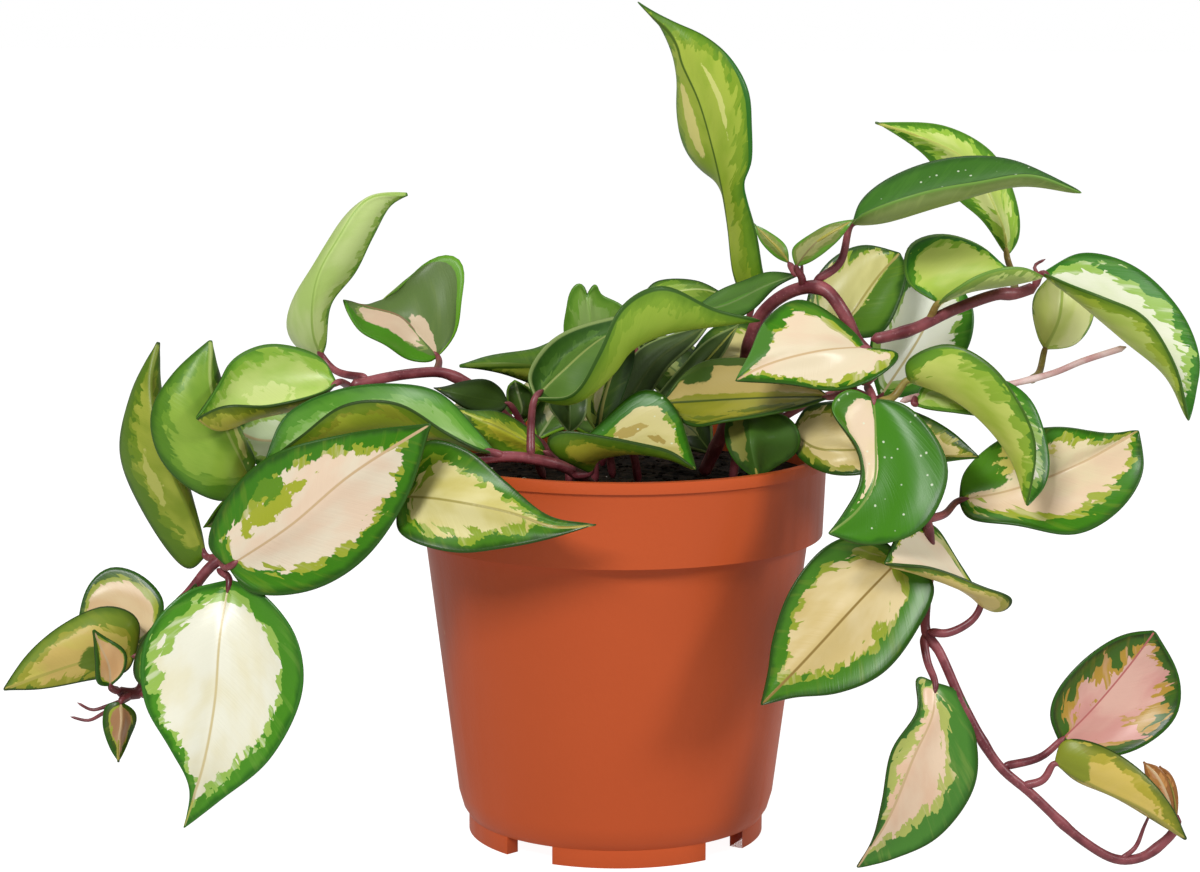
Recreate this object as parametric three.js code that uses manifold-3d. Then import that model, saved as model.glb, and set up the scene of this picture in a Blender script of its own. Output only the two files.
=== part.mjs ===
// A potted hoya: a terracotta-coloured plastic nursery pot filled with soil, and a plant with
// arching stems and pointed, waxy leaves whose pale centres are edged with green.
// Millimetres, +Z up. The origin lies on the floor, under the middle of the whole plant;
// the front of the pot faces -Y.
import * as THREE from "three";
import { mergeVertices } from "three/addons/utils/BufferGeometryUtils.js";
import Module from "manifold-3d";

const wasm = await Module();
wasm.setup();

// ---------------------------------------------------------------- driving dimensions
const POT_AXIS = [3.5, 7.8]; // where the pot's axis stands from the origin

const RIM_RADIUS = 60;
const POT_HEIGHT = 110;
const WALL = 1.6;
const BEAD_HEIGHT = 3;
const BEAD_DEPTH = 0.9; // how far the rolled bead stands out from the rim band
const BAND_BOTTOM = 86.6; // height of the ledge under the rim band
const BAND_RADIUS = 58.3;
const BODY_TOP_RADIUS = 54.4;
const BODY_LOW_RADIUS = 45;
const BODY_LOW = 12;
const FOOT_RADIUS = 42.1;
const FOOT_HEIGHT = 5;
const FOOT_WIDTH = 4;
const FOOT_FILLET = [1.6, 2.5]; // how far out and up the curve over the feet runs
const FLOOR_CORNER = 2; // the inside corner between the floor and the wall
const FLOOR_THICKNESS = 2;
const NOTCH_ANGLES = [-35, 47, 145, 227]; // degrees from the front, gaps between the feet
const NOTCH_WIDTH = 15.5;
const DRAIN_RADIUS = 4;
const DRAIN_CIRCLE = 24;
const DRAIN_ANGLES = [7, 97, 187, 277];
const DRAIN_SEGMENTS = 16;
const ROUND_SEGMENTS = 40;

const SOIL_TOP = 104;
const SOIL_MOUND = 1.5;
const GAP = 0.3; // clearance between pieces that touch

const LEAF_THICKNESS = 1.6;
const LEAF_STEP = 10; // length of one strip of a blade's surface
const LEAST_STRIPS = 3;
const SMALL_LEAF = 32; // a shorter blade has one facet on each side of its midrib
const LEAF_CUP = 0.12; // sag of each half blade, as a share of its width
const LEAST_HALF_WIDTH = 0.8; // keeps the blade's two ends closed
const BLADE_START = 0.015; // where the blade's surface starts and ends along its three curves
const BLADE_END = 0.985;
const STALK_RADIUS = 1.3;
const STALK_REACH = 0.06; // share of the midrib over which the stalk runs into the blade
const STALK_SIDES = 5;
const STALK_STEP = 10;
const LEAST_STEPS = 2; // lengths of tube in the shortest stalk
const VINE_SIDES = 7;
const VINE_STEP = 8;
const TWIG_RADIUS = 0.8; // side shoots and tendrils

// ---------------------------------------------------------------- colours
const plastic = new THREE.MeshStandardMaterial({ color: 0xb9502f, roughness: 0.45 });
const earth = new THREE.MeshStandardMaterial({ color: 0x1d1510, roughness: 1 });
const bark = new THREE.MeshStandardMaterial({ color: 0x7a3440, roughness: 0.5 });
const LEAF_COLOURS = {
  green: 0x4e8a22,
  olive: 0x8a8a2c,
  cream: 0xe4dcae,
  pink: 0xe3bda6,
};

// ---------------------------------------------------------------- the stems
// Each stem is a tube through points measured from the pot's axis at floor level. Twigs,
// unopened leaflets and a few leaves close to the soil have grown as one with it.
const VINES = {
  vine_left: {
    radius: 1.5,
    route: [
      [-4, -34, 103], [-12, -40, 110], [-18, -44, 113], [-30, -47, 115], [-47, -46, 112],
      [-69, -42, 104], [-88, -40, 94], [-108, -41, 85], [-115, -41, 77], [-123, -37, 67],
      [-128, -34, 56], [-131, -34, 47], [-137, -37, 48],
    ],
    twigs: [
      [[-131, -34, 48], [-135, -34, 45], [-140, -34, 43], [-144, -34, 42], [-148, -34, 44]],
      [[-131, -34, 47], [-136, -34, 44], [-141, -34, 41], [-145, -34, 39], [-150, -34, 40]],
    ],
  },
  vine_left_upper: {
    radius: 1.5,
    route: [
      [-16, 6, 103], [-22, 6, 110], [-31, 8, 117], [-39, 7, 125], [-45, 5, 129], [-50, 3, 131],
      [-57, 1, 131], [-65, -1, 130], [-75, -4, 128],
    ],
    leaflets: [
      {
        base: [-30, 8, 116],
        tip: [-29, 4, 129],
        left: [[-29, 6, 118], [-31, 4, 122], [-31, 3, 127]],
        mid: [[-27, 2, 120], [-28, 1, 125]],
        right: [[-24, 7, 119], [-24, 5, 125]],
      },
      {
        base: [-23, 7, 111],
        tip: [2, 24, 115],
        left: [[-25, 18, 121], [-17, 26, 124], [-7, 27, 121]],
        mid: [[-15, 17, 120], [-6, 24, 120]],
        right: [[-13, 11, 114], [-7, 15, 111], [0, 20, 111]],
      },
      {
        base: [-31, 9, 116],
        tip: [-46, 47, 112],
        left: [[-48, 15, 118], [-55, 29, 116], [-52, 41, 113]],
        mid: [[-38, 19, 122], [-43, 33, 121]],
        right: [[-30, 22, 118], [-33, 36, 118], [-39, 45, 114]],
      },
      {
        base: [-27, 8, 115],
        tip: [-17, 52, 119],
        left: [[-31, 20, 121], [-31, 36, 121], [-25, 48, 119]],
        mid: [[-25, 20, 126], [-23, 36, 127]],
        right: [[-18, 22, 126], [-13, 38, 125], [-12, 49, 120]],
      },
    ],
  },
  vine_centre: {
    radius: 1.8,
    route: [
      [24, -6, 103], [33, -10, 125], [38, -16, 147], [43, -20, 154], [50, -24, 158],
      [56, -28, 158], [61, -30, 152], [65, -28, 144], [70, -28, 138], [66, -34, 133],
    ],
    twigs: [[[50, -24, 158], [50, -24, 165]]],
    leaflets: [
      {
        base: [27, -5, 109],
        tip: [7, 14, 114],
        left: [[19, -5, 111], [10, 2, 110]],
        mid: [[20, 2, 116], [13, 9, 117]],
        right: [[26, 5, 119], [20, 10, 122], [13, 14, 119]],
      },
      {
        base: [34, -9, 126],
        tip: [55, 46, 121],
        left: [[33, 7, 131], [42, 23, 132], [47, 38, 126]],
        mid: [[41, 6, 134], [49, 26, 132]],
        right: [[47, 3, 131], [52, 17, 132], [57, 34, 127]],
      },
      {
        base: [30, -8, 119],
        tip: [5, 13, 140],
        left: [[21, 8, 119], [10, 12, 126]],
        mid: [[25, 5, 125], [15, 10, 132]],
        right: [[27, 8, 132], [18, 11, 140]],
      },
    ],
  },
  vine_right_upper: {
    radius: 1.6,
    route: [
      [69, -24, 144], [74, -24, 145], [81, -23, 147], [92, -21, 152], [104, -19, 156],
      [109, -17, 156], [115, -17, 158],
    ],
    twigs: [[[114, -17, 158], [116, -13, 160], [115, -11, 163], [118, -11, 165]]],
  },
  shoot_right: {
    radius: 0.9,
    route: [
      [76, -38, 129], [82, -34, 130], [88, -31, 130], [96, -28, 131], [106, -26, 132],
      [112, -24, 133], [120, -22, 135], [127, -22, 138], [139, -22, 142],
    ],
  },
  vine_right_low: {
    radius: 1.3,
    route: [
      [68, -38, 131], [71, -44, 123], [77, -48, 111], [82, -50, 100], [84, -48, 88],
      [83, -48, 77], [83, -50, 68], [86, -52, 64], [93, -55, 49], [102, -57, 34], [111, -57, 26],
      [125, -56, 13], [135, -54, 7], [142, -52, 7], [147, -51, 10], [151, -50, 14],
      [152, -49, 18],
    ],
    twigs: [[[136, -54, 7], [140, -53, 10], [142, -54, 16], [143, -56, 20]]],
    leaflets: [
      {
        base: [151, -50, 16],
        tip: [142, -50, 33],
        left: [[146, -50, 22], [143, -50, 28]],
        mid: [[148, -51, 25], [145, -51, 30]],
        right: [[150, -50, 24], [147, -50, 31]],
      },
      {
        base: [152, -49, 15],
        tip: [147, -47, 31],
        left: [[150, -47, 24], [148, -47, 28]],
        mid: [[150, -48, 25]],
        right: [[152, -47, 24], [150, -47, 29]],
      },
    ],
  },
};

// ---------------------------------------------------------------- the leaves
// A leaf is lofted over three curves that share its base and its tip: the left margin, the
// midrib and the right margin, as seen from above the blade with the base toward the viewer.
// The stalk runs on from the base to its stem. Points are measured from the pot's axis.
const LEAVES = {
  left_outer: {
    colour: "olive",
    base: [-112, -34, 85],
    tip: [-125, -25, 143],
    left: [[-114, -30, 92], [-117, -27, 102], [-122, -24, 116], [-125, -24, 131]],
    mid: [[-116, -34, 96], [-124, -34, 117], [-127, -29, 133]],
    right: [[-117, -32, 81], [-129, -29, 95], [-136, -26, 112], [-133, -24, 128]],
    stalk: [[-107, -39, 86]],
  },
  left_cupped: {
    colour: "green",
    base: [-100, -34, 107],
    tip: [-109, -38, 145],
    left: [[-98, -34, 111], [-101, -32, 117], [-105, -32, 126], [-108, -35, 137]],
    mid: [[-105, -42, 121], [-109, -42, 133]],
    right: [
      [-105, -38, 101], [-115, -42, 105], [-123, -43, 114], [-125, -42, 126], [-119, -40, 136],
    ],
    stalk: [[-97, -38, 100], [-96, -41, 92]],
  },
  left_pale: {
    colour: "green",
    base: [-77, -19, 131],
    tip: [-111, -53, 126],
    left: [[-80, -30, 130], [-93, -42, 128], [-104, -50, 129]],
    mid: [[-86, -29, 126], [-98, -40, 124], [-106, -48, 122]],
    right: [[-81, -20, 138], [-94, -29, 143], [-103, -38, 140], [-106, -45, 134]],
    stalk: [[-75, -5, 128]],
  },
  left_tall: {
    colour: "green",
    base: [-84, 8, 135],
    tip: [-59, 8, 181],
    left: [[-83, 8, 138], [-81, 6, 150], [-74, 7, 159], [-69, 7, 169], [-64, 8, 178]],
    mid: [[-86, 4, 141], [-86, 1, 150], [-84, 0, 159], [-79, 0, 168], [-70, 3, 180]],
    right: [
      [-91, 20, 135], [-95, 25, 139], [-93, 25, 145], [-87, 20, 152], [-83, 14, 161],
      [-77, 12, 171], [-68, 10, 178],
    ],
    stalk: [[-80, 6, 131], [-70, -2, 130]],
  },
  left_open: {
    colour: "green",
    base: [-52, 23, 133],
    tip: [-78, 11, 151],
    left: [[-54, 19, 132], [-60, 15, 133], [-66, 10, 138], [-73, 7, 142], [-76, 7, 147]],
    mid: [[-57, 23, 139], [-63, 21, 145], [-71, 16, 148]],
    right: [
      [-49, 24, 136], [-46, 24, 141], [-45, 25, 150], [-44, 27, 157], [-46, 29, 162],
      [-52, 30, 162], [-59, 30, 157], [-64, 24, 152], [-71, 20, 148],
    ],
    stalk: [[-51, 4, 131]],
  },
  left_arching: {
    colour: "green",
    base: [-32, -48, 116],
    tip: [-94, -48, 113],
    left: [[-37, -52, 118], [-45, -55, 123], [-58, -56, 131], [-72, -54, 130], [-84, -51, 121]],
    mid: [[-44, -50, 119], [-58, -46, 119], [-74, -45, 117], [-86, -46, 115]],
    right: [[-37, -42, 121], [-48, -36, 131], [-60, -34, 133], [-77, -36, 131], [-89, -42, 125]],
    stalk: [[-30, -47, 115]],
  },
  left_big_pink: {
    colour: "pink",
    base: [-104, -49, 85],
    tip: [-48, -68, 127],
    left: [[-109, -50, 91], [-104, -51, 104], [-92, -54, 116], [-70, -58, 123]],
    mid: [[-86, -57, 98], [-70, -61, 112]],
    right: [[-98, -52, 79], [-82, -57, 80], [-67, -62, 89], [-55, -66, 106]],
    stalk: [[-107, -42, 86]],
  },
  left_cream: {
    colour: "cream",
    base: [-58, -52, 105],
    tip: [-5, -75, 102],
    left: [[-51, -53, 120], [-40, -57, 119], [-29, -62, 111], [-17, -70, 103]],
    mid: [[-46, -62, 106], [-28, -69, 104], [-15, -74, 101]],
    right: [[-57, -62, 97], [-43, -68, 93], [-29, -72, 95], [-17, -74, 98]],
    stalk: [[-58, -46, 109]],
  },
  left_big_white: {
    colour: "cream",
    base: [-104, -45, 81],
    tip: [-116, -57, 15],
    left: [[-95, -51, 79], [-85, -56, 68], [-83, -58, 54], [-92, -59, 35], [-106, -58, 23]],
    mid: [[-106, -52, 66], [-107, -56, 50], [-110, -59, 33]],
    right: [[-116, -49, 78], [-126, -53, 66], [-126, -56, 50], [-119, -57, 37], [-114, -57, 26]],
    stalk: [[-108, -41, 83]],
  },
  left_low_beige: {
    colour: "pink",
    base: [-128, -26, 60],
    tip: [-151, -18, 60],
    left: [[-135, -22, 55], [-144, -20, 54]],
    mid: [[-136, -22, 65], [-144, -20, 66]],
    right: [[-126, -18, 69], [-133, -14, 76], [-142, -13, 78], [-148, -15, 73]],
    stalk: [[-126, -34, 60]],
  },
  left_low_olive: {
    colour: "olive",
    base: [-132, -33, 57],
    tip: [-167, -40, 49],
    left: [[-131, -31, 67], [-139, -32, 71], [-150, -34, 67], [-160, -37, 59]],
    mid: [[-142, -37, 57], [-156, -39, 53]],
    right: [[-134, -35, 53], [-145, -38, 51], [-157, -39, 49]],
    stalk: [[-128, -34, 56]],
  },
  left_young_pink: {
    colour: "pink",
    base: [-137, -44, 51],
    tip: [-140, -50, 68],
    left: [[-140, -46, 52], [-140, -48, 59], [-140, -49, 64]],
    mid: [[-137, -45, 57], [-139, -47, 63]],
    right: [[-133, -45, 55], [-132, -46, 61], [-137, -47, 65]],
    stalk: [[-136, -37, 48]],
  },
  left_young_low: {
    colour: "pink",
    base: [-135, -40, 46],
    tip: [-135, -45, 30],
    left: [[-131, -38, 42], [-133, -39, 35]],
    mid: [[-134, -44, 41], [-135, -44, 35]],
    right: [[-139, -40, 45], [-140, -41, 41], [-138, -43, 34]],
    stalk: [[-133, -35, 47]],
  },
  left_strip: {
    colour: "olive",
    base: [-126, -43, 49],
    tip: [-113, -46, 80],
    left: [[-131, -42, 53], [-129, -42, 63], [-120, -44, 73]],
    mid: [[-125, -43, 57], [-118, -44, 68]],
    right: [[-122, -41, 52], [-114, -42, 61], [-111, -44, 71]],
    stalk: [[-130, -36, 47]],
  },
  left_back_bit: {
    colour: "green",
    base: [-94, -12, 103],
    tip: [-115, -18, 90],
    left: [[-99, -14, 95], [-108, -16, 90]],
    mid: [[-102, -16, 97], [-109, -17, 92]],
    right: [[-104, -11, 101], [-110, -14, 97]],
    stalk: [[-88, -18, 102], [-78, -41, 99]],
  },
  left_back_pale: {
    colour: "cream",
    base: [-81, -8, 109],
    tip: [-107, -12, 117],
    left: [[-89, -8, 105], [-99, -10, 105]],
    mid: [[-91, -12, 113], [-101, -12, 114]],
    right: [[-86, -6, 120], [-100, -6, 121]],
    stalk: [[-76, -16, 106], [-70, -42, 104]],
  },
  mid_left_point: {
    colour: "green",
    base: [-8, 10, 129],
    tip: [-44, -14, 135],
    left: [[-13, 11, 140], [-24, 0, 138], [-36, -9, 137]],
    mid: [[-20, 0, 133], [-33, -10, 135]],
    right: [[-13, 11, 122], [-24, 1, 128], [-34, -9, 133]],
    stalk: [[-5, 10, 118], [-4, 8, 103]],
  },
  mid_jagged: {
    colour: "green",
    base: [-5, 40, 115],
    tip: [-9, 33, 150],
    left: [[-13, 36, 131], [-16, 35, 139], [-15, 34, 146], [-14, 34, 151], [-11, 34, 154]],
    mid: [[-7, 33, 134], [-8, 32, 143]],
    right: [[7, 40, 130], [5, 37, 143], [0, 36, 148], [-5, 35, 150], [-6, 34, 154]],
    stalk: [[-2, 34, 112], [0, 30, 103]],
  },
  mid_big: {
    colour: "green",
    base: [-22, -42, 130],
    tip: [39, -30, 150],
    left: [[-24, -32, 136], [-18, -27, 144], [-5, -23, 149], [17, -22, 152]],
    mid: [[-15, -34, 136], [-2, -30, 146], [17, -27, 150]],
    right: [[-12, -48, 132], [-5, -52, 144], [1, -50, 156], [11, -46, 161], [26, -36, 154]],
    stalk: [[-23, -42, 123], [-23, -45, 114]],
    cup: 0.4,
  },
  mid_curled: {
    colour: "green",
    base: [-7, -43, 110],
    tip: [21, -54, 113],
    left: [
      [-14, -38, 115], [-7, -36, 120], [0, -33, 127], [5, -32, 131], [8, -32, 132],
      [13, -34, 130], [17, -38, 125], [19, -45, 119],
    ],
    mid: [[-5, -44, 114], [4, -46, 116], [12, -49, 116]],
    right: [
      [-18, -49, 117], [-19, -51, 121], [-15, -52, 123], [-4, -54, 122], [6, -55, 120],
      [14, -55, 118],
    ],
    stalk: [[-12, -41, 109]],
  },
  mid_standing: {
    colour: "cream",
    base: [-5, -23, 117],
    tip: [3, -15, 148],
    left: [[-9, -23, 123], [-9, -21, 129], [-6, -18, 137]],
    mid: [[-4, -24, 126], [-1, -21, 136]],
    right: [[-1, -22, 122], [3, -19, 131], [5, -17, 139]],
    stalk: [[-6, -21, 112], [-6, -20, 103]],
  },
  mid_dark_a: {
    colour: "green",
    base: [-3, -16, 116],
    tip: [26, -3, 146],
    left: [[-2, -15, 124], [1, -10, 131], [6, -6, 139]],
    mid: [[2, -17, 124], [10, -12, 136]],
    right: [[7, -15, 124], [14, -11, 134], [22, -7, 141]],
    stalk: [[-2, -13, 110], [-1, -12, 103]],
  },
  mid_dark_b: {
    colour: "green",
    base: [3, -25, 118],
    tip: [34, -11, 147],
    left: [[9, -23, 126], [17, -18, 135], [24, -14, 142]],
    mid: [[11, -25, 125], [20, -21, 133]],
    right: [[14, -23, 123], [21, -20, 130], [29, -15, 138]],
    stalk: [[5, -22, 110], [6, -20, 103]],
  },
  mid_olive_end: {
    colour: "olive",
    base: [-30, -16, 125],
    tip: [-50, -28, 131],
    left: [[-32, -20, 123], [-40, -24, 124], [-46, -27, 128]],
    mid: [[-38, -21, 127], [-44, -26, 129]],
    right: [[-32, -15, 129], [-36, -18, 132], [-42, -22, 132], [-47, -26, 131]],
    stalk: [[-27, -14, 120], [-20, -14, 103]],
  },
  mid_yellow: {
    colour: "olive",
    base: [-19, -28, 113],
    tip: [-44, -33, 126],
    left: [[-24, -32, 111], [-32, -34, 113], [-38, -35, 119], [-42, -34, 124]],
    mid: [[-26, -36, 118], [-34, -36, 122]],
    right: [[-22, -29, 118], [-27, -29, 122], [-33, -30, 125], [-39, -31, 125]],
    stalk: [[-17, -26, 110], [-15, -24, 108]],
  },
  mid_short_dark: {
    colour: "green",
    base: [-13, -28, 118],
    tip: [-11, -21, 134],
    left: [[-16, -29, 122], [-19, -26, 126], [-17, -23, 131]],
    mid: [[-13, -31, 125], [-13, -27, 130]],
    right: [[-9, -28, 122], [-8, -26, 127], [-9, -23, 131]],
    stalk: [[-13, -28, 112], [-13, -28, 103]],
  },
  mid_pink: {
    colour: "pink",
    base: [67, -34, 143],
    tip: [31, -50, 136],
    left: [[76, -36, 142], [71, -42, 137], [59, -47, 133], [46, -49, 135]],
    mid: [[54, -42, 143], [40, -47, 140]],
    right: [[63, -32, 148], [49, -31, 156], [40, -34, 151], [35, -42, 142]],
    stalk: [[69, -29, 139]],
  },
  mid_long_olive: {
    colour: "olive",
    base: [58, -30, 129],
    tip: [12, -30, 127],
    left: [[49, -36, 127], [40, -41, 126], [29, -42, 124], [20, -38, 122]],
    mid: [[44, -32, 129], [29, -30, 128]],
    right: [[50, -26, 134], [42, -24, 138], [32, -24, 139], [23, -25, 138], [17, -28, 134]],
    stalk: [[65, -32, 132]],
  },
  mid_cream_back: {
    colour: "cream",
    base: [37, -8, 138],
    tip: [19, -12, 136],
    left: [[36, -10, 133], [29, -12, 131], [22, -12, 132]],
    mid: [[33, -13, 136], [27, -14, 135]],
    right: [[38, 0, 146], [32, -2, 147], [25, -6, 144]],
    stalk: [[40, -15, 147]],
  },
  mid_green_tip: {
    colour: "green",
    base: [21, 8, 148],
    tip: [50, -6, 160],
    left: [[29, 11, 154], [36, 9, 157], [43, 2, 160]],
    mid: [[31, 1, 151], [40, -3, 156]],
    right: [[32, -2, 147], [38, -4, 150], [43, -6, 156]],
    stalk: [[18, 15, 140], [18, 20, 128], [18, 16, 103]],
  },
  mid_back_top: {
    colour: "green",
    base: [6, 32, 148],
    tip: [32, 34, 150],
    left: [[11, 34, 154], [23, 36, 154]],
    mid: [[15, 30, 151], [24, 32, 152]],
    right: [[13, 28, 147], [26, 30, 147]],
    stalk: [[6, 36, 136], [6, 28, 103]],
  },
  tall: {
    colour: "green",
    base: [39, 26, 151],
    tip: [5, 20, 235],
    left: [
      [43, 23, 154], [42, 22, 158], [40, 21, 169], [37, 20, 179], [36, 19, 184], [38, 18, 189],
      [38, 17, 200], [37, 17, 210], [32, 18, 219], [25, 18, 225], [16, 19, 229], [10, 20, 232],
    ],
    mid: [
      [36, 27, 153], [34, 27, 157], [32, 25, 171], [30, 21, 182], [27, 19, 194], [23, 18, 207],
      [18, 18, 218], [17, 18, 222], [14, 19, 227], [9, 20, 231],
    ],
    right: [
      [37, 33, 152], [37, 34, 157], [36, 34, 171], [33, 31, 180], [23, 29, 188], [19, 29, 194],
      [17, 28, 203], [17, 25, 215], [15, 22, 222], [12, 21, 228], [9, 20, 232],
    ],
    stalk: [[38, 28, 143], [34, 30, 125], [28, 26, 103]],
  },
  mid_small_dark: {
    colour: "green",
    base: [36, -29, 125],
    tip: [38, -41, 108],
    left: [[46, -31, 124], [50, -34, 119], [49, -33, 114], [44, -35, 111]],
    mid: [[36, -40, 119], [37, -41, 113]],
    right: [[30, -30, 123], [29, -33, 118], [31, -37, 113], [34, -38, 110]],
    stalk: [[35, -24, 119], [33, -19, 112], [32, -17, 103]],
  },
  right_yellow: {
    colour: "cream",
    base: [48, -20, 118],
    tip: [97, -44, 115],
    left: [[52, -20, 125], [57, -24, 127], [69, -26, 128], [82, -32, 125], [90, -38, 121]],
    mid: [[55, -38, 116], [71, -40, 116], [82, -42, 115]],
    right: [[49, -32, 113], [55, -40, 110], [62, -45, 110], [78, -46, 113]],
    stalk: [[45, -14, 117], [43, -9, 111], [41, -6, 103]],
  },
  right_hanging: {
    colour: "green",
    base: [68, -46, 131],
    tip: [55, -66, 98],
    left: [[76, -50, 130], [84, -56, 122], [87, -60, 113], [80, -64, 99], [66, -66, 95]],
    mid: [[68, -54, 121], [67, -60, 110], [62, -64, 103]],
    right: [[61, -50, 134], [56, -54, 130], [63, -59, 120], [64, -61, 112], [59, -64, 103]],
    stalk: [[67, -36, 133]],
  },
  right_back_cream: {
    colour: "cream",
    base: [62, 13, 140],
    tip: [81, 20, 164],
    left: [[54, 19, 148], [60, 21, 161], [70, 22, 166]],
    mid: [[68, 13, 149], [75, 17, 158]],
    right: [[75, 13, 141], [81, 17, 150], [83, 20, 159]],
    stalk: [[61, 15, 137], [53, 19, 127], [38, 18, 103]],
  },
  right_back_white: {
    colour: "cream",
    base: [76, 24, 121],
    tip: [101, 34, 152],
    left: [[73, 26, 135], [80, 32, 152], [91, 36, 159]],
    mid: [[86, 26, 136], [93, 30, 147]],
    right: [[90, 24, 123], [102, 28, 135], [104, 32, 146]],
    stalk: [[67, 20, 124], [56, 17, 121], [42, 14, 112], [38, 13, 103]],
  },
  right_top_small_a: {
    colour: "green",
    base: [47, -19, 164],
    tip: [37, -16, 175],
    left: [[43, -18, 166], [39, -17, 170]],
    mid: [[44, -20, 168], [40, -18, 172]],
    right: [[46, -18, 169], [41, -17, 173]],
    stalk: [[49, -22, 161]],
  },
  right_top_small_b: {
    colour: "green",
    base: [48, -28, 164],
    tip: [63, -38, 178],
    left: [[47, -28, 169], [50, -30, 172], [56, -34, 176]],
    mid: [[52, -36, 171], [56, -38, 174]],
    right: [[52, -33, 166], [58, -36, 171], [61, -38, 175]],
    stalk: [[50, -26, 161], [50, -24, 158]],
  },
  right_upper: {
    colour: "green",
    base: [111, 16, 163],
    tip: [73, 22, 201],
    left: [[104, 16, 173], [96, 19, 180], [88, 22, 191], [80, 22, 197]],
    mid: [[109, 12, 172], [99, 16, 190], [88, 19, 196]],
    right: [[115, 20, 168], [115, 24, 177], [108, 28, 192], [94, 26, 200]],
    stalk: [[112, 12, 159], [109, -17, 156]],
  },
  right_long_top: {
    colour: "green",
    base: [63, -28, 176],
    tip: [124, -34, 185],
    left: [[66, -22, 182], [74, -18, 188], [88, -17, 193], [106, -19, 193]],
    mid: [[71, -33, 177], [87, -36, 182], [107, -34, 187]],
    right: [[66, -39, 180], [78, -43, 185], [93, -43, 188], [109, -40, 190]],
    stalk: [[60, -27, 165], [53, -26, 160]],
  },
  right_curled: {
    colour: "green",
    base: [87, -24, 154],
    tip: [115, -28, 162],
    left: [[79, -18, 159], [80, -10, 169], [89, -8, 172], [100, -12, 169], [107, -20, 163]],
    mid: [[94, -30, 158], [106, -30, 160]],
    right: [[90, -36, 159], [98, -38, 164], [108, -34, 165]],
    stalk: [[85, -22, 149], [83, -23, 147]],
  },
  right_arching: {
    colour: "green",
    base: [116, -18, 162],
    tip: [155, -32, 123],
    left: [[128, -12, 167], [143, -10, 163], [155, -12, 152], [160, -18, 139], [158, -25, 130]],
    mid: [[124, -26, 156], [137, -30, 145], [149, -30, 135]],
    right: [[122, -32, 160], [131, -38, 157], [140, -40, 153], [149, -38, 140]],
    stalk: [[114, -17, 157]],
  },
  right_behind: {
    colour: "olive",
    base: [121, 6, 138],
    tip: [126, 8, 162],
    left: [[130, 8, 139], [135, 10, 146], [134, 10, 156]],
    mid: [[124, 2, 147], [125, 4, 155]],
    right: [[119, 8, 142], [118, 10, 152]],
    stalk: [[119, 0, 133], [113, -24, 133]],
  },
  right_green_pink: {
    colour: "green",
    base: [78, -38, 135],
    tip: [109, -52, 103],
    left: [[83, -32, 136], [99, -32, 136], [111, -36, 130], [116, -40, 116], [115, -44, 108]],
    mid: [[87, -42, 132], [96, -46, 126], [105, -48, 115]],
    right: [[77, -44, 141], [87, -48, 146], [97, -53, 142], [104, -56, 134], [110, -56, 121]],
    stalk: [[74, -38, 130], [69, -40, 129]],
  },
  right_under_strip: {
    colour: "green",
    base: [80, -38, 128],
    tip: [99, -38, 125],
    left: [[83, -31, 133], [91, -32, 131]],
    mid: [[84, -36, 130], [92, -36, 128]],
    right: [[83, -38, 127], [91, -38, 126]],
    stalk: [[80, -35, 130]],
  },
  right_pink_cream: {
    colour: "pink",
    base: [93, -32, 101],
    tip: [141, -34, 121],
    left: [[95, -26, 108], [106, -22, 117], [120, -22, 120], [134, -28, 119]],
    mid: [[107, -33, 104], [125, -36, 112]],
    right: [[95, -36, 97], [108, -42, 96], [123, -45, 94], [135, -42, 100], [142, -37, 110]],
    stalk: [[88, -42, 99], [82, -50, 99]],
  },
  right_pink_lobe: {
    colour: "pink",
    base: [97, -54, 78],
    tip: [70, -64, 90],
    left: [
      [100, -54, 75], [104, -56, 76], [105, -58, 79], [103, -60, 81], [97, -61, 83],
      [90, -62, 86], [82, -64, 89], [75, -66, 90],
    ],
    mid: [[89, -58, 83], [79, -62, 87]],
    right: [[95, -48, 82], [91, -46, 88], [85, -46, 97], [76, -54, 98]],
    stalk: [[95, -54, 73], [88, -54, 69], [83, -51, 69]],
  },
  right_big_cream: {
    colour: "cream",
    base: [76, -54, 90],
    tip: [38, -66, 52],
    left: [[84, -58, 83], [79, -62, 71], [70, -64, 60], [58, -65, 55], [47, -65, 54]],
    mid: [[65, -60, 80], [48, -64, 62]],
    right: [[67, -55, 96], [56, -58, 94], [46, -61, 83], [41, -63, 69], [40, -64, 61]],
    stalk: [[79, -52, 84], [83, -48, 77]],
  },
  right_low_long: {
    colour: "pink",
    base: [85, -55, 56],
    tip: [65, -54, 4],
    left: [[92, -55, 53], [96, -57, 42], [96, -59, 29], [87, -57, 14], [75, -55, 7]],
    mid: [[84, -59, 48], [79, -61, 37], [73, -59, 20]],
    right: [[80, -57, 58], [80, -61, 50], [73, -62, 39], [71, -61, 25], [69, -57, 13]],
    stalk: [[83, -54, 61], [82, -50, 68]],
  },
  right_low_pink: {
    colour: "pink",
    base: [119, -52, 39],
    tip: [144, -50, 69],
    left: [[116, -54, 47], [118, -54, 54], [125, -53, 62], [135, -51, 68]],
    mid: [[127, -49, 46], [137, -48, 58]],
    right: [[127, -53, 35], [139, -54, 37], [150, -53, 46], [151, -51, 56]],
    stalk: [[114, -53, 35], [103, -56, 33]],
  },
  right_low_yellow: {
    colour: "olive",
    base: [117, -58, 35],
    tip: [152, -62, 15],
    left: [[123, -58, 30], [132, -60, 27], [142, -60, 21]],
    mid: [[127, -62, 30], [140, -64, 24]],
    right: [[119, -58, 41], [127, -60, 41], [138, -62, 35], [147, -63, 25]],
    stalk: [[114, -58, 30], [108, -57, 28]],
  },
};

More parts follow.
